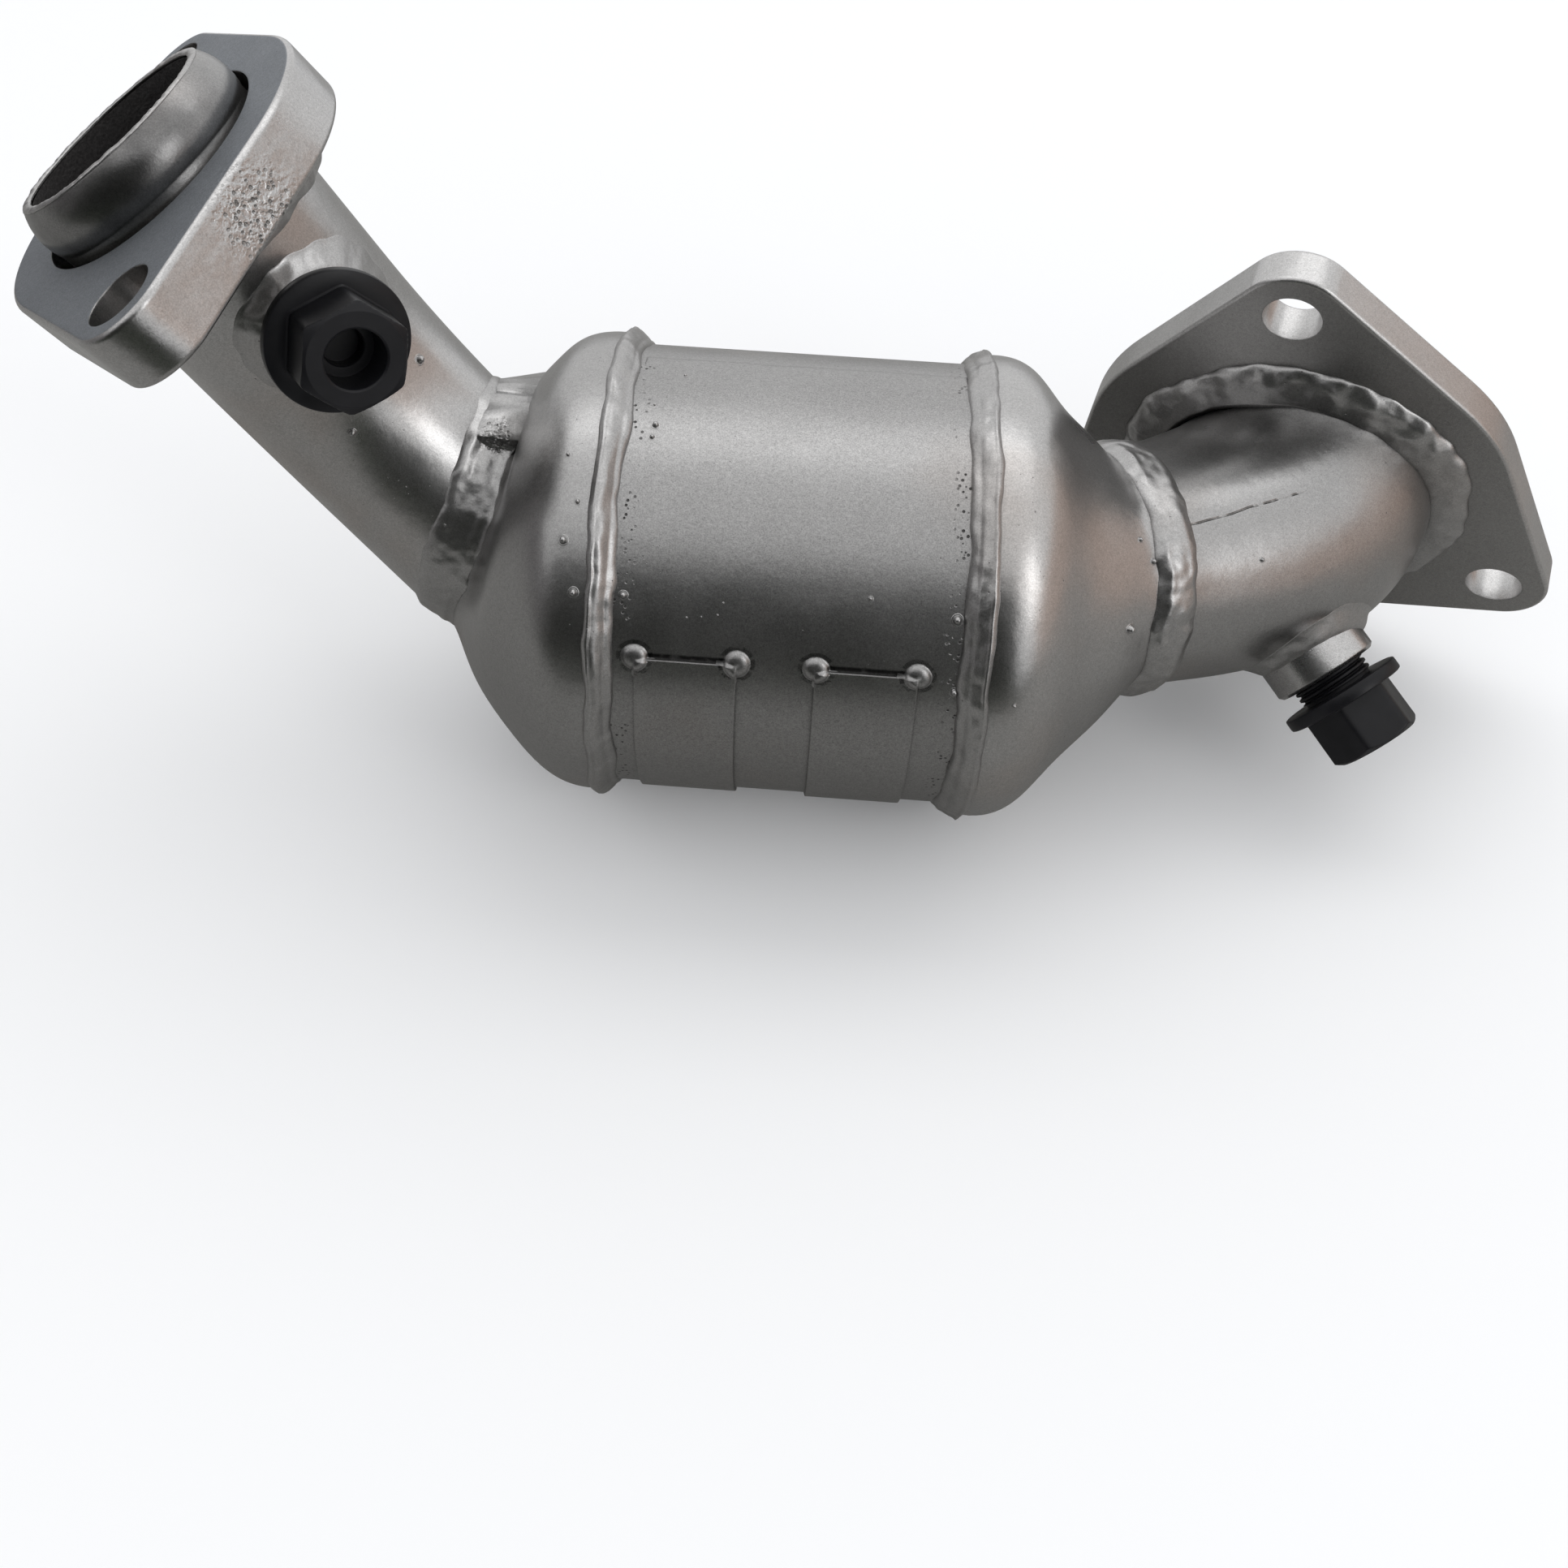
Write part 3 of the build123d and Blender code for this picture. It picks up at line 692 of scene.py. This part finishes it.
weld_band(
    "weld_outlet_neck", ("outlet_cone", "outlet_pipe"), OUTLET_NECK, OUTLET_NECK_AXIS, 0.8, 11.5, 1.25,
    ("outlet_neck_bead",), 18.0, lambda u: 0.65 + 0.55 * ridge(u, 0.6, 0.25) + 0.35 * ridge(u, -0.6, 0.25),
    1.1, lumps=lumps_at(OUTLET_NECK_LUMPS, NECK_SKIN), girth=27.0, clear=34.0, count=440, columns=26,
)


def weld_fillet(name, centre, axis, inner, width, height, replaces, seed, count=520, columns=20):
    """Wavy fillet weld in the corner between a flange's back and its pipe."""
    power, root = 1.15, inner - 1.5
    points = []
    for angle, out in ways_round(axis, count):
        guide = here(centre + out * inner)
        foot = width * (1 + 0.20 * rough(guide, 12, seed) + 0.10 * rough(guide, 4, seed + 2))
        top = height * (1 + 0.25 * rough(guide, 14, seed + 4) + 0.12 * rough(guide, 5, seed + 5))
        waver = 1.5 * rough(guide, 9, seed + 10)
        ring = [(root, -0.2), (inner + foot, -0.2)]
        for j in range(columns + 1):
            turn = math.pi / 2 * j / columns
            fade = math.sin(2 * turn)
            radial = inner + foot * math.cos(turn) ** power
            along = top * math.sin(turn) ** power
            spot = here(centre + out * radial + axis * along)
            wobble = 0.34 * rough(spot, 6, seed + 7) + 0.22 * rough(spot, 2.8, seed + 9)
            wobble += 0.10 * math.sin(angle * inner / 1.5 + waver) * fade
            radial += wobble * fade * 1.2
            along += wobble * fade * 1.2
            ring.append((radial, along))
        ring.append((root, top))
        points.extend(here(centre + out * r + axis * a) for r, a in ring)
    return piece(name, points, grid_faces(count, columns + 4), weld_paint, replaces)


weld_fillet(
    "weld_inlet_flange", INLET_FLANGE, -INLET_AXIS, ELBOW_END - 0.4, 8.4, 3.8,
    ("inlet_flange_bead",), 23.0,
)
weld_fillet(
    "weld_outlet_flange", OUTLET_FLANGE - OUTLET_AXIS * OUTLET_PLATE, -OUTLET_AXIS, OUTLET_RADIUS - 0.6,
    7.2, 6.4, ("outlet_flange_bead",), 31.0, count=440,
)


def weld_foot(name, host, root, axis, width, leg, replaces, seed, count=300, columns=18):
    """Weld round the foot of a boss, which follows the round of its pipe."""
    skin = skin_of(host)
    inner = BOSS_RADIUS - 0.5
    over, reach, middle = 60, 80, 20
    points = []
    for _, out in ways_round(axis, count):
        guide = here(root + out * BOSS_RADIUS)
        wide = width * (1 + 0.30 * rough(guide, 9, seed) + 0.12 * rough(guide, 3, seed + 1))
        tall = leg * (1 + 0.25 * rough(guide, 8, seed + 2))
        bottom = None
        ring = []
        for j in range(columns + 1):
            t = j / columns
            radius = inner + wide * t
            place, _, _, _ = skin.ray_cast(here(root + out * radius + axis * over), -axis, reach * MM)
            if place is None:
                place = bottom or here(root + out * radius + axis * middle)
            bottom = place
            fill = (1 - t) ** 1.5 * (1 + 0.35 * math.sin(math.pi * t))
            bump = 0.26 * rough(place, 4.2, seed + 5) + 0.08 * rough(place, 1.8, seed + 6)
            rise = tall * fill + bump * math.sin(math.pi * min(1.0, t * 1.1)) * leg * 0.5
            if j == columns:
                rise = -0.3
            ring.append(place + axis * (rise * MM))
        ring.append(ring[-1] - axis * MM)
        low = (ring[0] - here(root)).dot(axis) / MM - leg - 1
        ring.append(here(root + out * inner + axis * low))
        points.extend(ring)
    return piece(name, points, grid_faces(count, columns + 3), weld_paint, replaces)


weld_foot(
    "weld_inlet_boss", "inlet_elbow", INLET_BOSS_ROOT, INLET_BOSS_AXIS, 5.2, 2.6,
    ("inlet_boss_bead",), 41.0,
)
weld_foot(
    "weld_outlet_boss", "outlet_pipe", OUTLET_BOSS_ROOT, OUTLET_BOSS_AXIS, 5.0, 3.6,
    ("outlet_boss_bead",), 47.0,
)


# Rear seam of the can

def rear_seam():
    """Nearly flush weld along the can's sheet joint."""
    run, half, height, sunk = SEAM - 3.6, 2.2, 0.16, 0.03
    rows, columns = 150, 12
    points = []
    for i in range(rows):
        x = -run + 2 * run * i / (rows - 1)
        guide = here((x, 0, CAN_RADIUS))
        wide = half * (1 + 0.15 * rough(guide, 8, 52))
        shift = 0.3 * rough(guide, 14, 53)
        for j in range(columns + 1):
            u = -1 + 2 * j / columns
            angle = math.radians(REAR_SEAM_ANGLE) + (u * wide + shift) / CAN_RADIUS
            swell = 0.85 + 0.12 * math.cos(x * TURN / 1.8 + 2 * u * u) + 0.15 * rough(guide, 5, 54)
            radius = CAN_RADIUS + height * math.sqrt(max(0.0, 1 - u * u)) * swell - sunk
            points.append(here((x, radius * math.cos(angle), radius * math.sin(angle))))
    faces = grid_faces(rows, columns + 1, False, False)
    faces.append(tuple(range(columns + 1)))
    faces.append(tuple((rows - 1) * (columns + 1) + j for j in range(columns, -1, -1)))
    return piece("weld_rear_seam", points, faces, can_paint, ("rear_seam",))


rear_seam()


# Spots of weld and small beads of spatter

def add_blob(points, faces, place, normal, radius, height, skin, seed, pool, around):
    """A drop of metal with a shallow pool round it, laid on the surface."""
    profile = [
        (0.35, 0.95), (0.62, 0.80), (0.82, 0.58), (0.94, 0.34), (1.0, 0.10),
        (1.10, pool * 0.2), (1.25, pool), (1.45, pool * 0.8), (1.62, -0.12),
    ]
    over, reach = 4 * MM, 9 * MM
    ways = ways_round(normal, around, BLOB_SIDE)
    top = len(points)
    points.append(place + normal * (height * MM))
    rings = []
    for share, level in profile:
        rings.append(len(points))
        for _, out in ways:
            wobble = 1 + 0.14 * rough(place + out * (radius * MM), radius * 1.6, seed)
            spot = place + out * (radius * share * wobble * MM)
            base, _, _, _ = skin.ray_cast(spot + normal * over, -normal, reach)
            points.append((base or spot) + normal * (level * height * MM))
    for i in range(around):
        k = (i + 1) % around
        faces.append((top, rings[0] + i, rings[0] + k))
        for a, b in zip(rings, rings[1:]):
            faces.append((a + i, b + i, b + k, a + k))


def tack_spots():
    """Drops of weld at the plates' corners."""
    radius, height, around = 2.6, 1.15, 36
    points, faces = [], []
    for middle in PLATE_MIDDLES:
        for side in (-1, 1):
            for angle in PLATE_ANGLES:
                turn = math.radians(angle)
                out = Vector((0, math.cos(turn), math.sin(turn)))
                x = middle + side * PLATE_WIDTH / 2
                place = here(Vector((x, 0, 0)) + out * CAN_RADIUS)
                add_blob(points, faces, place, out, radius, height, CAN_SKIN, x + angle, 0.0, around)
    return piece("weld_plate_tacks", points, faces, can_paint, ("plate_tacks",))


tack_spots()

BODY_SKIN = skin_of(
    "shell", "inlet_cone", "outlet_cone", "inlet_elbow", "outlet_pipe", "inlet_flange", "outlet_flange",
    "inlet_side_plate", "outlet_side_plate",
)


def spatter():
    """Small beads thrown off by the welding, on the seen side and a few all round."""
    points, faces = [], []
    for x, y, radius in SPATTER:
        place, normal = seen_at(x, y, BODY_SKIN)
        height = radius * 1.35
        add_blob(points, faces, place, normal, radius, height, BODY_SKIN, x * 0.1, SPATTER_POOL, 16)
    pick = random.Random(SPATTER_SEED)
    for _ in range(SPATTER_MORE):
        angle = pick.uniform(-1.3, 1.9)
        side = pick.choice((-1, 1))
        x = side * (SEAM + pick.uniform(-14, 12))
        out = Vector((0, math.cos(angle), math.sin(angle)))
        place, normal, _, _ = BODY_SKIN.ray_cast(here(Vector((x, 0, 0)) + out * 90), -out)
        radius = pick.uniform(0.25, 0.75)
        add_blob(points, faces, place, normal, radius, radius * 1.3, BODY_SKIN, x, SPATTER_POOL, 14)
    return piece("weld_spatter", points, faces, weld_paint)


spatter()


# Plugs: turned body with a screw thread, a thin flange and a hollow hexagon head

def plug(name, seat, axis, replaces):
    """Rows of points from the thread's end to the bottom of the socket, each a radius and a height."""
    around, steps, crown_steps = 144, 104, 8
    pitch, depth, outer = 1.5, 0.85, 9.0
    flats = 10.0
    thread, flange, head = 13.0, 3.0, 12.0
    top = flange + head

    def steady(levels):
        return [(lambda angle, radius=radius: radius, z) for radius, z in levels]

    def cut(angle, z):
        turn = (z / pitch - angle / TURN) % 1.0
        return outer - depth * min(1.0, max(0.0, 1.25 - abs(turn - 0.5) * 4.0))

    def hexagon(angle):
        part = (angle + math.pi / 6) % (math.pi / 3) - math.pi / 6
        sharp = flats / math.cos(part)
        return sharp - 0.25 * max(0.0, (abs(part) - 0.42) / 0.104) ** 2

    rows = steady([(7.4, -thread), (8.2, -thread)])
    for i in range(steps + 1):
        z = -thread + 0.05 + (thread - 0.9) * i / steps
        lead = min(1.0, (z + thread) / 1.2)
        rows.append((lambda angle, z=z, lead=lead: min(cut(angle, z), 8.1 + 0.9 * lead), z))
    rows += steady([
        (8.3, -0.8), (8.3, 0.0), (PLUG_FLANGE - 0.5, 0.0), (PLUG_FLANGE - 0.1, 0.15), (PLUG_FLANGE, 0.5),
        (PLUG_FLANGE, flange - 0.6), (PLUG_FLANGE - 0.15, flange - 0.2), (PLUG_FLANGE - 0.6, flange),
    ])
    rows.append((lambda angle: hexagon(angle) + 0.35, flange + 0.02))
    rows += [(hexagon, flange + z) for z in (0.4, 4.5, 7.5, 10.0)]
    for i in range(crown_steps + 1):
        z = 10.2 + 1.8 * i / crown_steps
        crown = 12.1 - 2.6 * max(0.0, (z - 10.3) / 1.7)
        rows.append((lambda angle, crown=crown: min(hexagon(angle), crown), flange + z))
    rows += steady([
        (9.0, top), (6.4, top), (6.05, top - 0.3), (6.0, top - 0.8), (6.0, top - 9.0),
        (4.2, top - 9.0), (4.0, top - 9.3), (4.0, top - 13.0),
    ])
    ways = ways_round(axis, around)
    points = []
    for radius, z in rows:
        points.extend(here(seat + out * radius(angle) + axis * z) for angle, out in ways)
    faces = grid_faces(len(rows), around, False, True)
    faces.append(tuple(range(around)))
    last = (len(rows) - 1) * around
    faces.append(tuple(last + i for i in range(around - 1, -1, -1)))
    obj = piece(name, points, faces, plug_black, replaces)
    split = obj.modifiers.new("edges", "EDGE_SPLIT")
    split.split_angle = math.radians(32)
    return obj


INLET_PLUG_SEAT = INLET_BOSS_ROOT + INLET_BOSS_AXIS * (INLET_BOSS_REACH + INLET_PLUG_LIFT)
OUTLET_PLUG_SEAT = OUTLET_BOSS_ROOT + OUTLET_BOSS_AXIS * OUTLET_BOSS_REACH
plug("plug_inlet", INLET_PLUG_SEAT, INLET_BOSS_AXIS, ("inlet_plug",))
plug("plug_outlet", OUTLET_PLUG_SEAT, OUTLET_BOSS_AXIS, ("outlet_plug",))


# Insides of the pipes and the rough rim of the outlet sleeve

def bent_line(corners, radii):
    """Points along straight runs joined by arcs."""
    spacing, closest = 2.0, 0.05
    line = [corners[0]]
    for i, radius in enumerate(radii):
        before, corner, after = corners[i], corners[i + 1], corners[i + 2]
        come, go = (corner - before).normalized(), (after - corner).normalized()
        turn = come.angle(go)
        reach = radius * math.tan(turn / 2)
        middle = corner - come * reach + (go - come * come.dot(go)).normalized() * radius
        start = corner - come * reach - middle
        normal = come.cross(go).normalized()
        steps = max(4, int(radius * turn / spacing))
        for k in range(steps + 1):
            line.append(middle + Matrix.Rotation(turn * k / steps, 3, normal) @ start)
    line.append(corners[-1])
    dense = [line[0]]
    for point in line[1:]:
        gap = (point - dense[-1]).length
        if gap < closest:
            continue
        parts = max(1, int(gap / spacing))
        last = dense[-1]
        dense.extend(last + (point - last) * (k / parts) for k in range(1, parts + 1))
    return dense


def liner(name, line, radii):
    """Gritty skin of soot just inside a pipe."""
    around = 120
    points = []
    for i, centre in enumerate(line):
        tangent = (line[min(i + 1, len(line) - 1)] - line[max(i - 1, 0)]).normalized()
        for _, out in ways_round(tangent, around):
            spot = centre + out * radii[i]
            grit = 0.10 * rough(here(spot), 1.4, 61) + 0.12 * rough(here(spot), 4, 62)
            points.append(here(spot - out * (0.25 + grit)))
    return piece(name, points, grid_faces(len(line), around, False, True), soot_black)


def outlet_soot():
    """Soot from the outlet neck to the sleeve's end, drawn in with the sleeve."""
    inside, steps = 9, 5
    corners = [OUTLET_NECK + OUTLET_FIRST * inside, OUTLET_KNEE, OUTLET_TURN, SLEEVE_ROOT]
    line = bent_line(corners, OUTLET_BENDS)
    for step in range(1, steps + 1):
        line.append(SLEEVE_ROOT + SLEEVE_AXIS * (SLEEVE_LENGTH * step / steps - 0.3))
    radii = []
    for point in line:
        past = max(0.0, (point - SLEEVE_ROOT).dot(SLEEVE_AXIS)) / SLEEVE_LENGTH
        swell = 0.5 * math.sin(min(1.0, past * 1.6) * math.pi)
        radii.append(OUTLET_RADIUS - OUTLET_WALL + swell - 1.5 * past ** 2)
    return liner("soot_outlet", line, radii)


def inlet_soot():
    """Soot from the inlet neck to the flange, flared with the elbow."""
    inside = 3.0
    end = INLET_FLANGE + INLET_AXIS * (INLET_PLATE - inside)
    line = bent_line([INLET_NECK + INLET_NECK_AXIS * inside, INLET_KNEE, end], [ELBOW_BEND])
    length = (INLET_FLANGE - INLET_NECK).length * 1.06
    radii, passed = [], inside
    for i, point in enumerate(line):
        passed += (point - line[max(0, i - 1)]).length
        share = min(1.0, passed / length)
        radii.append(ELBOW_RADIUS + (ELBOW_END - ELBOW_RADIUS) * share ** 1.7 - ELBOW_WALL - 0.25)
    return liner("soot_inlet", line, radii)


outlet_soot()
inlet_soot()


def sleeve_rim():
    """Rough lip left by the cut at the end of the sleeve."""
    end = SLEEVE_ROOT + SLEEVE_AXIS * SLEEVE_LENGTH
    count, columns = 420, 12
    middle, half = SLEEVE_RADIUS - OUTLET_WALL / 2, OUTLET_WALL / 2 + 0.05
    points = []
    for _, out in ways_round(SLEEVE_AXIS, count):
        guide = here(end + out * middle)
        tear = 0.18 * rough(guide, 3.0, 71) + 0.16 * rough(guide, 1.1, 72)
        for j in range(columns):
            turn = TURN * j / columns
            radial = middle + (half + 0.12 * rough(guide, 1.6, 73)) * math.cos(turn)
            along = 0.10 + (0.38 + tear) * math.sin(turn)
            points.append(here(end + out * radial + SLEEVE_AXIS * along))
    return piece("sleeve_rim", points, grid_faces(count, columns), weld_paint)


sleeve_rim()


# Honeycomb ends of the brick

def brick_circle(x, radius, around):
    """Points of a circle round the can's axis."""
    points = []
    for i in range(around):
        angle = TURN * i / around
        points.append(here((x, radius * math.cos(angle), radius * math.sin(angle))))
    return points


def add_wall(points, faces, ends, way, place):
    """One thin wall, which crosses the brick in the first or the second way."""
    wall, inside = 0.22, BRICK_RADIUS - 1.3
    half = math.sqrt(max(1.0, inside ** 2 - place * place))
    c = len(points)
    for x in ends:
        for shift in (-wall / 2, wall / 2):
            for end in (-half, half):
                spot = (x, place + shift, end) if way == 0 else (x, end, place + shift)
                points.append(here(spot))
    faces.extend([(c, c + 1, c + 5, c + 4), (c + 2, c + 6, c + 7, c + 3), (c + 4, c + 5, c + 7, c + 6)])


def honeycomb():
    """Solid round of the brick with crossing thin walls standing at both ends."""
    around, sink, rim, pitch = 96, 4.0, 1.2, 1.5
    points, faces = [], []
    for x in (-BRICK_HALF_LENGTH + sink, BRICK_HALF_LENGTH - sink):
        points.extend(brick_circle(x, BRICK_RADIUS - 1, around))
    for i in range(around):
        k = (i + 1) % around
        faces.append((i, k, around + k, around + i))
    faces.append(tuple(range(around)))
    faces.append(tuple(around + i for i in range(around - 1, -1, -1)))
    count = int(BRICK_RADIUS / pitch)
    for side in (-1, 1):
        ends = (side * (BRICK_HALF_LENGTH - sink), side * (BRICK_HALF_LENGTH - 0.05))
        start = len(points)
        for x in ends:
            for radius in (BRICK_RADIUS, BRICK_RADIUS - rim):
                points.extend(brick_circle(x, radius, around))
        for i in range(around):
            k = (i + 1) % around
            for low, high in ((0, 2), (1, 3), (2, 3)):
                a, b = start + low * around, start + high * around
                faces.append((a + i, a + k, b + k, b + i))
        for way in (0, 1):
            for n in range(-count, count + 1):
                add_wall(points, faces, ends, way, n * pitch)
    replaced = ("catalyst_brick",)
    return piece("honeycomb_brick", points, faces, ceramic_paint, replaced, smooth=False)


honeycomb()


# Studio, in metres: pale floor, soft lamps, dark screens that only the metal reflects, camera

FLOOR_REACH = 4
FLOOR_DROP = 0.0006
WHITE = (1.0, 1.0, 1.0, 1.0)
SKY = (0.97, 0.98, 1.0, 1.0)
SENSOR = 36.0


def plain(name, colour):
    """Dull one-coloured material."""
    material = bpy.data.materials.new(name)
    material.use_nodes = True
    shader = material.node_tree.nodes["Principled BSDF"]
    shader.inputs["Base Color"].default_value = (*colour, 1.0)
    shader.inputs["Roughness"].default_value = 0.8
    shader.inputs["Specular IOR Level"].default_value = 0.1
    return material


def sheet(name, corners, colour):
    """One flat face of the studio."""
    mesh = bpy.data.meshes.new(name)
    mesh.from_pydata(corners, [], [tuple(range(len(corners)))])
    mesh.materials.append(plain(name, colour))
    obj = bpy.data.objects.new(name, mesh)
    bpy.context.scene.collection.objects.link(obj)
    return obj


def level_corners(low, high, z):
    """Corners of a level rectangle."""
    (x0, y0), (x1, y1) = low, high
    return [(x0, y0, z), (x1, y0, z), (x1, y1, z), (x0, y1, z)]


def screen(name, corners, colour):
    """A screen outside the picture, which shapes the reflections in the metal."""
    obj = sheet(name, corners, colour)
    obj.visible_camera = False
    obj.visible_diffuse = False
    obj.visible_shadow = False
    return obj


def mat(name, low, high, lift, colour):
    """A mat on the floor, which only the metal reflects."""
    return screen(name, level_corners(low, high, lowest + lift), colour)


def wall(name, start, end, height, colour):
    """A screen that stands on the floor between two places."""
    (x0, y0), (x1, y1) = start, end
    low, high = lowest + 0.001, lowest + height
    return screen(name, [(x0, y0, low), (x1, y1, low), (x1, y1, high), (x0, y0, high)], colour)


lowest = cad_box[0].z - FLOOR_DROP
floor_corners = level_corners((-FLOOR_REACH, -FLOOR_REACH), (FLOOR_REACH, FLOOR_REACH), lowest)
sheet("floor", floor_corners, (0.95, 0.95, 0.95))
mat("mat_grey", low=(-1.3, -1.0), high=(1.3, 1.0), lift=0.0010, colour=(0.33, 0.325, 0.31))
mat("mat_dark", low=(-1.3, -1.0), high=(0.45, -0.30), lift=0.0014, colour=(0.030, 0.036, 0.026))
wall("screen_front", start=(-1.3, -0.95), end=(0.40, -0.95), height=1.02, colour=(0.018, 0.019, 0.017))
wall("screen_left", start=(-1.2, -1.0), end=(-1.2, 0.9), height=0.55, colour=(0.20, 0.19, 0.19))
wall("screen_right", start=(1.25, -1.0), end=(1.25, 1.0), height=0.62, colour=(0.60, 0.47, 0.40))

world = bpy.data.worlds.new("studio")
bpy.context.scene.world = world
world.use_nodes = True
world_nodes, world_links = world.node_tree.nodes, world.node_tree.links
world_nodes.clear()


def either(first, second):
    """The larger of two values of the world's nodes."""
    node = world_nodes.new("ShaderNodeMath")
    node.operation = "MAXIMUM"
    world_links.new(first, node.inputs[0])
    world_links.new(second, node.inputs[1])
    return node.outputs[0]


def background(colour, strength):
    """One colour of the world all round."""
    node = world_nodes.new("ShaderNodeBackground")
    node.inputs["Color"].default_value = colour
    node.inputs["Strength"].default_value = strength
    return node.outputs[0]


rays = world_nodes.new("ShaderNodeLightPath").outputs
seen = either(either(rays["Is Camera Ray"], rays["Is Glossy Ray"]), rays["Is Transmission Ray"])
blend = world_nodes.new("ShaderNodeMixShader")
world_links.new(seen, blend.inputs[0])
world_links.new(background(SKY, 0.92), blend.inputs[1])
world_links.new(background(WHITE, 1.0), blend.inputs[2])
world_out = world_nodes.new("ShaderNodeOutputWorld")
world_links.new(blend.outputs[0], world_out.inputs["Surface"])


def lamp(name, place, target, size, power):
    """A rectangular lamp that faces a target."""
    data = bpy.data.lights.new(name, "AREA")
    data.shape = "RECTANGLE"
    data.size, data.size_y = size
    data.energy = power
    obj = bpy.data.objects.new(name, data)
    bpy.context.scene.collection.objects.link(obj)
    obj.location = place
    obj.rotation_euler = (Vector(target) - Vector(place)).to_track_quat("-Z", "Y").to_euler()
    return obj


lamp("lamp_key", place=(-0.1, 0.55, 1.5), target=(-0.12, -0.03, 0.0), size=(2.2, 0.7), power=4.8)
lamp("lamp_side", place=(1.0, -0.9, 0.9), target=(-0.05, -0.03, 0.0), size=(0.45, 0.7), power=2.6)

view = bpy.data.cameras.new("camera")
view.sensor_width = SENSOR
view.lens = SENSOR * FOCAL / PICTURE
view.shift_x = (PICTURE / 2 - MIDDLE[0]) / PICTURE
view.shift_y = (MIDDLE[1] - PICTURE / 2) / PICTURE
view.clip_start, view.clip_end = 0.01, 20.0
camera = bpy.data.objects.new("camera", view)
bpy.context.scene.collection.objects.link(camera)
camera.matrix_world = Matrix.Translation(CAMERA) @ Matrix((SIDE, UP, BACK)).transposed().to_4x4()
bpy.context.scene.camera = camera

settings = bpy.context.scene.view_settings
settings.view_transform = "Standard"
